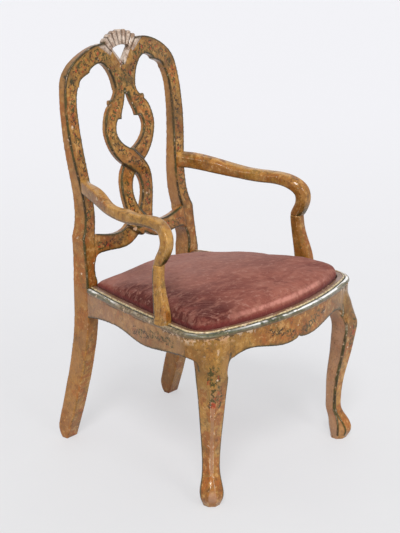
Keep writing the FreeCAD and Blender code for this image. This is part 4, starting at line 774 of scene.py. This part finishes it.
def knee_ease(points, normals):
    """Full on the outer face of the knee, none at the joints with the aprons or at the rim."""
    outward = (np.abs(normals[:, 0]) - normals[:, 1]) / math.sqrt(2)
    height = ramp(points[:, 2], 0.325, 0.335) * ramp(points[:, 2], 0.420, 0.414)
    off_front = ramp(np.abs(points[:, 0]), LEG_JOINT_X + 0.004, LEG_JOINT_X + 0.014)
    off_side = ramp(points[:, 1], LEG_JOINT_Y - 0.004, LEG_JOINT_Y - 0.014)
    return height * off_front * off_side * ramp(outward, 0.3, 0.6)


def flaked(place, facing, depth, blend):
    """1 close under the rim on chosen faces, where paint has flaked off, 0 below a depth."""
    return ramp(level(place), -depth, blend - depth) * facing


# Where the front rail and the side rails have flaked, and the strength of the dulled varnish
# at the front legs and along the side rails.
WORN_CORNER, WORN_FROM = -0.2, -0.12
AT_JOINT, ALONG_SIDE = 0.65, 0.05

front_rail, place, samples = worked("front_apron", "front_seat_rail", shift=front_ends,
                                    cut_above=rim_cut)
between = np.abs(samples[:, 0]) < LEG_JOINT_X - OFF_JOINT
lined(front_rail, samples[on_low_edge(samples) & between])
front = -normals_of(front_rail)[:, 1]
spray = [(0.014, 0.376), (0.030, 0.384), (0.052, 0.394), (0.078, 0.401), (0.100, 0.404)]
vine(front_rail, place[:, [0, 2]], [spray, mirror(spray)], front, 0.013, 0.1)
worn_end = (front > FACING) & at(place[:, 0], WORN_CORNER, 0.05)
store(front_rail, flaking=flaked(place, worn_end, 0.026, 0.012), plain=front < 0,
      dulled=AT_JOINT * ramp(np.abs(place[:, 0]), 0.10, LEG_JOINT_X))

side_spray = [(-0.150, 0.396), (-0.105, 0.400), (-0.060, 0.392), (-0.015, 0.385)]
knee_spray = [(0.002, 0.350), (0.005, 0.325), (0.001, 0.300), (0.002, 0.268)]
for side, sign in (("left", 1), ("right", -1)):
    side_rail, place, samples = worked("side_apron_" + side, "side_seat_rail_" + side,
                                       shift=side_ends, cut_above=rim_cut)
    facing = normals_of(side_rail)[:, 0] * sign
    depth = samples[:, 1]
    between = (depth > LEG_JOINT_Y + OFF_JOINT) & (depth < POST_FACE - OFF_JOINT)
    lined(side_rail, samples[on_low_edge(samples) & between])
    vine(side_rail, place[:, [1, 2]], [side_spray], facing, 0.014, 0.2)
    worn_end = (facing > FACING) & (place[:, 1] < WORN_FROM)
    store(side_rail, mauve=0.5 * np.clip(facing, 0, 1), plain=facing < 0,
          dulled=ALONG_SIDE + (AT_JOINT - ALONG_SIDE) * ramp(place[:, 1], 0, LEG_JOINT_Y) ** 2,
          flaking=flaked(place, worn_end, 0.030, 0.012))

    leg, place, samples = worked("cabriole_leg_" + side, "front_leg_" + side, rubs=6,
                                 cut_above=rim_cut, ease=knee_ease)
    height, outward = samples[:, 2], samples[:, 0] * sign
    square = np.interp(height, LEG_HEIGHTS, LEG_SQUARES)
    flank = np.abs(outward + samples[:, 1] - LEG_SETBACK) > square * 0.72
    on_leg = flank & (height > 0.012) & (height < LEG_HEIGHTS[-1])
    at_front = (outward < BRACKET_SIDE) & (samples[:, 1] < BRACKET_FRONT)
    at_bracket = at_front | (samples[:, 1] > BRACKET_REAR)
    low_edge = on_low_edge(samples, BRACKET_FOOT) & at_bracket
    lined(leg, samples[on_leg | low_edge], 0.0075)
    normals = normals_of(leg)
    diagonal = (place[:, 0] * sign + place[:, 1]) / math.sqrt(2)
    facing = (normals[:, 0] * sign - normals[:, 1]) / math.sqrt(2)
    flat = np.column_stack([diagonal, place[:, 2]])
    vine(leg, flat, [knee_spray], facing, 0.018, size=1.6)
    band = ramp(facing, 0.86, 0.94) * ramp(place[:, 2], 0.32, 0.28)
    inner_panel = ramp(-normals[:, 0] * sign, 0.5, 0.9)
    store(leg, mauve=np.maximum(band, inner_panel),
          dulled=AT_JOINT * ramp(place[:, 2], 0.27, 0.32) * ramp(facing, 0, 0.7),
          flaking=flaked(place, facing > 0.2, 0.034, 0.014))


def paint_nodes(finish, nodes):
    """Gives CAD nodes that keep their own mesh a finish."""
    for node in nodes:
        materials = frame["nodes"][node].data.materials
        materials.clear()
        materials.append(finish)


paint_nodes(ochre_paint, ["rear_seat_rail"])


# Arms and their supports: each arm is one double curve that turns down over a knuckle
# and is dowelled to a raked support, which stands in a notch of the side rail.
ARM_FOOT, ARM_ROOT = 0.570, 0.64


def highlit_and_shaded(mesh, place, samples):
    """Pale gold as a painted highlight on the tops and the front of the knuckle, rub wear on the
    ridges; painted shade, darker, on the sides and undersides.
    """
    normals = normals_of(mesh)
    forward = ramp(-normals[:, 1], 0.6, 0.95) * ramp(place[:, 2], 0.56, 0.59)
    ridge = ramp(closeness(place, samples, 0.006), 0.5, 1) * (normals[:, 2] > -0.2)
    # The tops and the knuckle front take a painted highlight; the ridges show rub wear.
    rubbed = np.maximum(ramp(normals[:, 2], 0.6, 0.95), forward) * 0.9 + ridge * 0.5
    store(mesh, gilt=np.clip(rubbed, 0, 1),
          dulled=np.clip(0.3 - normals[:, 2] * 0.7, 0, 0.8))


def arm_ends(points):
    """Pushes the root of an arm 3 mm into its post and the knuckle 2 mm down its support."""
    root = at(on_back(points)[:, 2], 0, 0.0004) & (points[:, 2] > ARM_ROOT)
    down = at(points[:, 2], ARM_FOOT)[:, None] * np.array([0, 0, 0.002])
    return points - root[:, None] * forwards * JOINT_PUSH - down


def outer_rear(place, samples, sign, low=0.445, high=0.560):
    """Whether samples lie on the outer rear arris of a support, seen from its middle line."""
    levels = np.linspace(low, high, 12)
    middle = np.array([place[at(place[:, 2], height, 0.006)].mean(axis=0) for height in levels])
    height = samples[:, 2]
    outward = (samples[:, 0] - np.interp(height, levels, middle[:, 0])) * sign
    rearward = samples[:, 1] - np.interp(height, levels, middle[:, 1])
    return (height > low) & (height < high) & (outward > 0.004) & (rearward > 0.004)


for side, sign in (("left", 1), ("right", -1)):
    arm, place, samples = worked("arm_rest_" + side, "arm_" + side, rubs=26, shift=arm_ends)
    highlit_and_shaded(arm, place, samples)
    # A dark band of lining and glaze along the arm, laid on the faces that slope downward.
    store(arm, lining=0.8 * ramp(np.abs(normals_of(arm)[:, 2] + 0.5), 0.4, 0))
    support, place, samples = worked("support_" + side, "arm_support_" + side, rubs=16)
    highlit_and_shaded(support, place, samples)
    lined(support, samples[outer_rear(place, samples, sign)], 0.007)


# Seat rim: the moulding worked on the top of the rails and legs. From the outside: a
# silvered roundover, a green groove, a cream bead and a flat mauve tier with gold lines.
def angle_to(centre, point):
    """Direction of a plan point from an arc's centre."""
    away = point - centre
    return math.atan2(away[1], away[0])


def outline_arcs(inset, rear):
    """Centre, radius and end angles of the arcs of half the seat's plan, from rear to middle."""
    side_radius = SIDE_RADIUS - inset
    rear_x = side_centre[0] + math.sqrt(side_radius ** 2 - (rear - side_centre[1]) ** 2)
    side_end = angle_to(side_centre, corner_centre)
    front_end = angle_to(front_centre, corner_centre)
    return [(side_centre, side_radius, angle_to(side_centre, np.array([rear_x, rear])), side_end),
            (corner_centre, CORNER_RADIUS - inset, side_end, front_end),
            (front_centre, FRONT_RADIUS - inset, front_end, -math.pi / 2)]


def outline(inset, rear, counts):
    """Plan points round the front: each arc's centre plus its radius in even angles, mirrored."""
    rows = []
    for (centre, radius, start, end), count in zip(outline_arcs(inset, rear), counts):
        angles = np.linspace(start, end, count, endpoint=False)
        rows.append(centre + radius * np.column_stack([np.cos(angles), np.sin(angles)]))
    half = np.concatenate(rows + [np.array([[0.0, RIM_FRONT + inset]])])
    return np.concatenate([half, half[-2::-1] * np.array([-1, 1])])


def lifted(plan, levels):
    """Points on the falling seat: plan coordinates laid along it, raised by levels."""
    along = (plan[..., 1] - RIM_FRONT)[..., None] * ALONG_SEAT
    return plan[..., :1] * np.array([1, 0, 0]) + SEAT_PIVOT + along + levels[..., None] * UP_SEAT


def tube_faces(rings, around):
    """Four-sided faces between the rings of a tube."""
    row = np.arange(rings - 1)[:, None] * around
    column = np.arange(around)[None, :]
    after = (column + 1) % around
    corners = [row + column, row + after, row + around + after, row + around + column]
    return np.stack(corners, -1).reshape(-1, 4)


def closed_form(name, points, faces):
    """A closed smooth mesh whose faces all look outwards."""
    mesh = mesh_of(name, points, faces)
    work = bmesh.new()
    work.from_mesh(mesh)
    bmesh.ops.recalc_face_normals(work, faces=work.faces)
    work.to_mesh(mesh)
    work.free()
    mesh.polygons.foreach_set("use_smooth", np.ones(len(mesh.polygons), bool))
    return mesh


# Inset from the outline and level over the rim, once round the section of the moulding.
rim_profile = np.array([
    (0.0045, -0.0138), (0.0012, -0.0136), (0.0, -0.0122), (-0.0003, -0.0098), (0.0006, -0.0074),
    (0.0024, -0.0054), (0.0048, -0.0041), (0.0074, -0.0037), (0.0094, -0.0042), (0.0104, -0.0056),
    (0.0114, -0.0064), (0.0124, -0.0056), (0.0130, -0.0034), (0.0138, -0.0014), (0.0150, -0.0004),
    (0.0162, -0.0008), (0.0170, -0.0022), (0.0178, -0.0026), (0.0196, -0.0022), (0.0240, -0.0021),
    (0.0290, -0.0022), (0.0306, -0.0026), (0.0310, -0.0036), (0.0310, -0.0160), (0.0310, -0.0296),
    (0.0250, -0.0296), (0.0200, -0.0180), (0.0100, -0.0142)])
UNDERSIDE, UNDERSIDE_INSET = -0.0127, -0.002
rim_counts = (46, 22, 40)
rim_rings = []
for inset, height in rim_profile:
    plan = outline(inset, POST_FACE + 0.001, rim_counts)
    rim_rings.append(lifted(plan, np.full(len(plan), height)))
rim_grid = np.stack(rim_rings, 1)
rings, around = rim_grid.shape[:2]
rim_faces = [tuple(face) for face in tube_faces(rings, around)[:, ::-1]]
rim_faces.append(tuple(range(around)))
rim_faces.append(tuple(range((rings - 1) * around, rings * around))[::-1])
rim_mesh = closed_form("seat_rim", rim_grid.reshape(-1, 3), rim_faces)
painted_inset = np.where(rim_profile[:, 1] < UNDERSIDE, UNDERSIDE_INSET, rim_profile[:, 0])
rim_crown = 6
lengths = np.linalg.norm(np.diff(rim_grid[:, rim_crown], axis=0), axis=1)
rim_place = points_of(rim_mesh)
mossy_corner = np.array([-0.25, -0.26])
corner_away = np.linalg.norm(rim_place[:, :2] - mossy_corner, axis=1)
store(rim_mesh, inset=np.tile(painted_inset, rings),
      along=np.repeat(np.concatenate([[0], np.cumsum(lengths)]), around),
      mossy=ramp(corner_away, 0.125, 0.025),
      brownish=ramp(rim_place[:, 1], -0.24, -0.19) * ramp(rim_place[:, 1], 0.10, 0.05))


def rim_paint():
    """Bands of silver with a painted highlight, green, cream, mauve and gold lines by the
    distance from the rim's edge.
    """
    f = Finish("silvered_rim")
    stretched = f.node("ShaderNodeCombineXYZ", None, {
        0: f.attribute("along") * 14.0, 1: f.attribute("inset") * 90.0, 2: 0.5})
    inset = f.attribute("inset") + (f.noise(60.0, 3.0) - 0.5) * 0.0011
    patches = f.noise(1.0, 4.0, 0.6, stretched, 0.6)
    fine = f.noise(130.0, 3.0, 0.7)
    wear = f.noise(38.0, 4.0, 0.7)
    painted_highlight_band = f.step(inset, 0.0022, 0.0034) * f.step(inset, 0.0094, 0.0082)
    moss = f.mix(f.step(fine, 0.4, 0.6), (52, 58, 30), (96, 92, 60))
    lines = [f.step(abs(inset - middle), 0.0009, 0.0004) for middle in (0.0205, 0.0262)]
    chips = f.step(f.noise(75.0, 2.0, 0.5), 0.65, 0.69)
    silver = f.mix(f.step(patches, 0.38, 0.54), (120, 110, 84), (228, 226, 220))
    base = f.coated(silver, [
        (f.step(wear, 0.54, 0.68, 0.0, 0.7), (104, 98, 72)),
        # Painted highlight: near-white patches along the silvered roundover.
        (painted_highlight_band * f.step(patches, 0.40, 0.46), (252, 252, 250)),
        (f.step(inset, 0.0030, 0.0018, 0.0, 0.8), moss),
        (f.step(f.noise(9.0, 4.0, 0.65), 0.58, 0.66), moss),
        (f.attribute("brownish") * f.step(wear, 0.22, 0.5, 0.5, 1.0),
         f.mix(f.step(fine, 0.4, 0.6), (98, 78, 48), (150, 132, 104))),
        (f.attribute("mossy") * f.step(wear, 0.26, 0.46), moss),
        (f.step(inset, 0.0092, 0.0100),
         f.mix(f.step(wear, 0.45, 0.7), (34, 42, 30), (70, 74, 54))),
        (f.step(inset, 0.0126, 0.0134),
         f.mix(f.step(fine, 0.42, 0.66), (214, 194, 150), (140, 106, 62))),
        (f.step(inset, 0.0160, 0.0166),
         f.mix(f.step(wear, 0.35, 0.65), (134, 104, 88), (98, 68, 52))),
        (lines[0].higher(lines[1]) * f.step(wear, 0.4, 0.6, 0.1, 0.8), (176, 136, 78)),
        (f.step(inset, 0.0010, -0.0008, 0.0, 0.85), (104, 76, 38)),
        (chips * 0.8, (206, 176, 146))])
    relief = wear * 0.7 + fine * 0.3 - chips * 0.5
    metal = f.step(patches, 0.5, 0.6, 0.0, 0.3) * f.step(inset, 0.0095, 0.0085)
    return f.finish({
        "Base Color": base, "Roughness": f.step(wear, 0.3, 0.7, 0.3, 0.5), "Metallic": metal,
        "Normal": f.bump(relief, 0.001, 0.7), "Coat Weight": 0.3, "Coat Roughness": 0.18})


rim = placed("seat_rim", rim_mesh)
rim_mesh.materials.append(rim_paint())
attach(rim, "chair_frame")


# Velvet seat: hair stuffing under worn rose velvet, pulled down over the loose frame and
# tacked beneath. It crowns before its middle and rolls over at the edge.
def velvet():
    """Short worn pile: a painted sheen of rosy grey on the rear of the top, maroon where crushed,
    painted shade in maroon low on the sides and a painted highlight along the front roll.
    """
    f = Finish("worn_velvet")
    nap = f.noise(1.0, 5.0, 0.7, f.stretched((26.0, 190.0, 60.0), 0.85), 0.3)
    broad = f.noise(1.0, 4.0, 0.6, f.stretched((5.0, 9.0, 9.0)), 0.8)
    streak = f.noise(1.0, 5.0, 0.65, f.stretched((18.0, 64.0, 40.0)), 0.5)
    patch = f.noise(22.0, 4.0, 0.65)
    mottle = f.noise(75.0, 4.0, 0.7)
    pile = f.noise(420.0, 2.0, 0.6)
    roll = f.attribute("roll")
    # Painted highlight band along the front roll, partway up its side.
    roll_highlight = f.step(roll, 0.36, 0.56) * f.step(roll, 0.92, 0.7) * f.attribute("front_face")
    rose = f.mix(f.step(broad, 0.35, 0.65), (112, 54, 46), (150, 90, 76))
    base = f.coated(rose, [
        # Painted sheen: rosy grey over the rear of the top.
        (f.attribute("brushed") * f.step(broad, 0.3, 0.7, 0.9, 0.5), (162, 118, 108)),
        (f.attribute("crushed") * f.step(patch, 0.66, 0.5, 0.35, 1.0), (84, 36, 32)),
        (f.step(streak, 0.48, 0.66, 0.0, 0.5), (166, 112, 96)),
        (f.step(nap, 0.52, 0.66, 0.0, 0.3), (176, 126, 110)),
        (f.step(nap, 0.46, 0.34, 0.0, 0.35), (92, 44, 38)),
        (f.step(patch, 0.52, 0.74, 0.0, 0.5), (108, 52, 46)),
        (f.step(mottle, 0.5, 0.7, 0.0, 0.35), (100, 56, 48)),
        (f.step(mottle, 0.46, 0.32, 0.0, 0.35), (188, 142, 126)),
        # Painted highlight: pink along the crest of the front roll.
        (roll_highlight * f.step(f.noise(34.0, 4.0, 0.7), 0.36, 0.6, 0.2, 0.85), (202, 138, 124)),
        # Painted shade: maroon low on the sides of the pad.
        (f.step(roll, 0.42, 0.12, 0.0, 0.6), (118, 44, 44))])
    relief = pile * 0.5 + mottle * 0.5 + f.noise(60.0, 3.0, 0.6) * 0.4
    return f.finish({
        "Base Color": base, "Roughness": 0.95, "Normal": f.bump(relief, 0.0012, 0.7),
        "Specular IOR Level": 0.1, "Sheen Weight": 0.22, "Sheen Roughness": 0.5,
        "Sheen Tint": (226, 196, 190)})


RIM_WIDTH, CLEARANCE = 0.031, 0.0025
LEDGE = -0.030
SUMMIT = np.array([0.0, -0.094])
SUMMIT_LEVEL = 0.0462
CROWN_ACROSS, CROWN_ALONG = 1.9, 0.95
FULLER_REAR, SLACKER_LEFT = 0.012, 0.006


def dome(plan):
    """Level of the crowned top: highest at the summit, lower by the square of the distance.

    The stuffing stands fuller along the rear, save in its left corner, and slacker at the left.
    """
    across, depth = plan[..., 0] - SUMMIT[0], plan[..., 1] - SUMMIT[1]
    crown = SUMMIT_LEVEL - across ** 2 / (2 * CROWN_ACROSS) - depth ** 2 / (2 * CROWN_ALONG)
    rear = ramp(plan[..., 1], 0, 0.19) ** 1.5 * ramp(plan[..., 0], 0.19, 0.07)
    left = ramp(plan[..., 0], 0.05, 0.20) * ramp(((plan[..., 1] - 0.03) / 0.16) ** 2, 1, 0)
    return crown + FULLER_REAR * rear - SLACKER_LEFT * left


def pad_level(plan, inset, blend=0.006):
    """Level at an inset from the edge: the lower of the crown and the roll, blended."""
    roll = np.interp(inset, [-0.0015, 0.0, 0.0025, 0.006, 0.011, 0.035, 0.2],
                     [0.011, 0.0175, 0.022, 0.0262, 0.030, 0.056, 0.25])
    crown = dome(plan)
    share = np.clip(0.5 + 0.5 * (roll - crown) / blend, 0, 1)
    return roll * (1 - share) + crown * share - blend * share * (1 - share)


def pad_ring(inset, counts=(40, 20, 40), rear_count=48):
    """Plan points round the pad at an inset: the seat's outline and a straight rear edge."""
    rear = POST_FACE - CLEARANCE - max(inset, 0)
    front = outline(RIM_WIDTH + CLEARANCE + inset, rear, counts)
    share = np.linspace(0, 1, rear_count, endpoint=False)[1:, None]
    return np.concatenate([front, front[-1] * (1 - share) + front[0] * share])


START_IN, BULGE, BULGE_FROM = 0.0015, 0.0035, 0.6
PAD_VOXEL, FRAMES, MOST = 0.0055, 20, 0.004
CREASE, UNEVEN = 0.0006, 0.0014
brim = pad_level(pad_ring(START_IN), 0.0)
pad_rings = []
for share in (0.0, 0.3, BULGE_FROM, 0.75, 0.88, 1.0):
    out = BULGE * math.sin(math.pi * max(share - BULGE_FROM, 0) / (1 - BULGE_FROM))
    pad_rings.append(lifted(pad_ring(START_IN - out), LEDGE + (brim - LEDGE) * share))
for inset in (0.0012, 0.0026, 0.0045, 0.007, 0.010, 0.014, 0.019, 0.026, 0.035):
    ring = pad_ring(START_IN + inset)
    pad_rings.append(lifted(ring, pad_level(ring, inset)))
edge_ring = pad_ring(START_IN + 0.045)
for share in np.linspace(0, 1, 24)[:-1]:
    plan = edge_ring * (1 - share) + SUMMIT * share
    pad_rings.append(lifted(plan, dome(plan)))
around = len(edge_ring)
bottom_middle = lifted(np.array([[0.0, 0.0]]), np.array([LEDGE]))
top_middle = lifted(SUMMIT[None, :], np.array([SUMMIT_LEVEL]))
pad_points = np.concatenate(pad_rings + [bottom_middle, top_middle])
bottom, top = len(pad_points) - 2, len(pad_points) - 1
pad_faces = [tuple(face) for face in tube_faces(len(pad_rings), around)]
last = bottom - around
for number in range(around):
    after = (number + 1) % around
    pad_faces += [(after, number, bottom), (last + number, last + after, top)]
pad = placed("velvet_seat", closed_form("velvet_seat", pad_points, pad_faces))
adjusted(pad.modifiers.new("even", "REMESH"), {"mode": "VOXEL", "voxel_size": PAD_VOXEL})
start_mesh = applied(pad)
start = points_of(start_mesh)
swollen = start
cloth = pad.modifiers.new("cloth", "CLOTH")
adjusted(cloth.settings, {
    "use_pressure": True, "uniform_pressure_force": 4.0, "tension_stiffness": 25.0,
    "compression_stiffness": 25.0, "bending_stiffness": 0.6})
cloth.settings.effector_weights.gravity = 0.0
cloth.collision_settings.use_collision = False
for number in range(1, FRAMES + 1):
    bpy.context.scene.frame_set(number)
swollen = points_of(applied(pad))
pad.data = start_mesh
bpy.context.scene.frame_set(1)
moved = swollen - start
shortened = np.minimum(1, MOST / np.maximum(np.linalg.norm(moved, axis=1, keepdims=True), 1e-9))
move(start_mesh, start + moved * shortened * ramp(level(start), 0.002, 0.012)[:, None])
adjusted(pad.modifiers.new("finer", "SUBSURF"), {"levels": 1, "render_levels": 1})
pad_done = applied(pad)
place, normals = points_of(pad_done), normals_of(pad_done)
heights = level(place)
steep = 1 - np.abs(normals @ UP_SEAT)
turn = np.arctan2(place[:, 1] + 0.05, place[:, 0])
creases = np.sin(turn * 150 + 3 * np.sin(turn * 31)) * (0.6 + 0.4 * np.sin(turn * 67))
on_side = ramp(steep, 0.1875, 0.8125) * ramp(heights, 0, 0.004) * ramp(heights, 0.024, 0.016)
uneven = np.sin(place[:, 0] * 33 + 1.1) * np.sin(place[:, 1] * 41 + 0.4)
swell = creases * on_side * CREASE + uneven * ramp(heights, 0, 0.02) * UNEVEN
move(pad_done, place + normals * swell[:, None])
flank = ramp(steep, 0.08, 0.38)
worn_corner = ramp(place[:, 0], -0.13, -0.19) * ramp(place[:, 1], 0.14, 0.08)
# Where the velvet takes its painted shade low on the sides, its painted sheen at the rear of the
# top and its painted highlight on the front roll.
store(pad_done, roll=ramp(heights, 0, 0.026) * flank + (1 - flank), crushed=worn_corner,
      brushed=ramp(place[:, 1], -0.16, 0.06) * (1 - flank),
      front_face=ramp(place[:, 1], -0.24, -0.26))
pad_done.materials.append(velvet())
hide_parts("velvet_cover", "seat_padding")
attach(pad, "loose_seat")


# Hidden work: corner blocks and bars of bare beech, jute webbing and hessian under the
# stuffing, iron tacks that hold the cloth and a screw in each arm support.
def bare_beech():
    """Pale beech with stretched grain and old stains."""
    f = Finish("bare_beech")
    grain = f.noise(1.0, 4.0, 0.6, f.stretched((14.0, 160.0, 160.0)), 1.2)
    base = f.coated(f.mix(f.step(grain, 0.35, 0.7), (170, 132, 88), (132, 94, 58)), [
        (f.step(f.noise(9.0, 4.0), 0.5, 0.75, 0.0, 0.5), (92, 64, 42))])
    return f.finish({
        "Base Color": base, "Roughness": 0.72, "Normal": f.bump(grain, 0.0004, 0.6)})


def woven(name, light, dark, pitch):
    """Plain weave: two crossed sine waves of a thread pitch decide which thread lies on top."""
    f = Finish(name)
    x, y, _ = f.parts(f.place)
    turns = math.pi / pitch
    weave = f.step((x * turns).sine() * (y * turns).sine(), -0.6, 0.6)
    tone = weave * f.step(f.noise(200.0, 3.0), 0.3, 0.7, 0.5, 1.0)
    return f.finish({"Base Color": f.mix(tone, dark, light), "Roughness": 0.9,
                     "Normal": f.bump(weave, 0.0006, 0.8)})


def old_iron():
    """Dark iron with patches of rust."""
    f = Finish("old_iron")
    rust = f.step(f.noise(180.0, 4.0, 0.7), 0.4, 0.65)
    return f.finish({
        "Base Color": f.mix(rust, (78, 70, 64), (104, 62, 42)), "Metallic": 0.6,
        "Roughness": f.step(rust, 0.0, 1.0, 0.45, 0.8), "Normal": f.bump(rust, 0.0003, 0.5)})


blocks = ["corner_block_" + corner for corner in (
    "front_left", "front_right", "rear_left", "rear_right")]
bars = ["seat_frame_" + side for side in ("front", "rear", "left", "right")]
paint_nodes(bare_beech(), blocks + bars + ["joint_pegs"])
paint_nodes(old_iron(), ["arm_support_screws", "cover_tacks"])
paint_nodes(woven("jute_webbing", (176, 150, 108), (112, 88, 58), 0.004), ["seat_webbing"])
paint_nodes(woven("hessian_cloth", (168, 140, 100), (110, 86, 58), 0.0025),
            ["seat_hessian", "dust_cover"])


# Studio: a pale floor, soft lamps, an even room and the camera. Rays from the camera and
# from glossy surfaces see the floor and the room as plain bright paper.
def in_view(f):
    """1 for rays from the camera or from a glossy surface, else 0."""
    camera, glossy = (f.node("ShaderNodeLightPath", output=ray) for ray in (
        "Is Camera Ray", "Is Glossy Ray"))
    return camera.higher(glossy)


half_width = 30
corners = [(x * half_width, y * half_width, 0) for x, y in ((-1, -1), (1, -1), (1, 1), (-1, 1))]
floor = placed("floor", mesh_of("floor", corners, [(0, 1, 2, 3)]))
pale = Finish("pale_floor")
right, rearward, _ = pale.parts(pale.place)
sweep_up = pale.step(right * 0.76 + rearward * 0.65, -1.5, 4.0)
mottled = pale.mix(pale.noise(3.0, 4.0), (224, 224, 226), (229, 229, 230))
paper = pale.mix(sweep_up, mottled, (240, 240, 244))
seen, black = in_view(pale) * 0.65, (0, 0, 0)
floor.data.materials.append(pale.finish({
    "Base Color": pale.mix(seen, paper, black), "Roughness": 0.6, "Specular IOR Level": 0.1,
    "Emission Color": pale.mix(seen, black, paper), "Emission Strength": 1.0}))


def aimed(thing, place, target):
    """Puts a lamp or the camera at its place, looking at a target."""
    thing.location = place
    thing.rotation_euler = (Vector(target) - Vector(place)).to_track_quat("-Z", "Y").to_euler()
    return thing


def lit(name, kind, place, target, power, settings):
    """A lamp of a kind at its place, aimed at a target."""
    light = adjusted(bpy.data.lights.new(name, kind), {"energy": power, **settings})
    aimed(placed(name, light), place, target)


lit("window_sun", "SUN", (-1.6, -1.2, 2.4), (0, 0, 0.3), 1.7, {"angle": math.radians(16)})
lit("soft_box", "AREA", (-0.9, -3.0, 1.9), (0, -0.1, 0.5), 28, {"shape": "DISK", "size": 1.2})
LOW_LIGHT, OVERHEAD_LIGHT, PAPER_LIGHT = 0.26, 0.66, (0.86, 0.86, 0.88, 1)
room = Finish("studio", "worlds", "Background", "Generated")
bpy.context.scene.world = room.material
strength = room.node("ShaderNodeMapRange", None, {
    "Value": room.parts(room.place)[2],
    "From Min": -0.1, "From Max": 0.9, "To Min": LOW_LIGHT, "To Max": OVERHEAD_LIGHT})
room.finish({"Color": (255, 255, 255), "Strength": strength})
backdrop = room.node("ShaderNodeBackground", None, {"Color": PAPER_LIGHT})
either = room.node("ShaderNodeMixShader", None, {
    0: in_view(room), 1: Wire(room, room.surface.outputs[0]), 2: backdrop})
room.set(room.tree.nodes["World Output"], {0: either})

camera_data = adjusted(bpy.data.cameras.new("camera"), {"sensor_width": 36, "lens": 111.05})
EYE, AIM = (-2.9565, -2.5252, 1.7771), (-0.001466, 0.0085, 0.47542)
camera = aimed(placed("camera", camera_data), EYE, AIM)
bpy.context.scene.camera = camera
bpy.context.scene.view_settings.view_transform = "Standard"
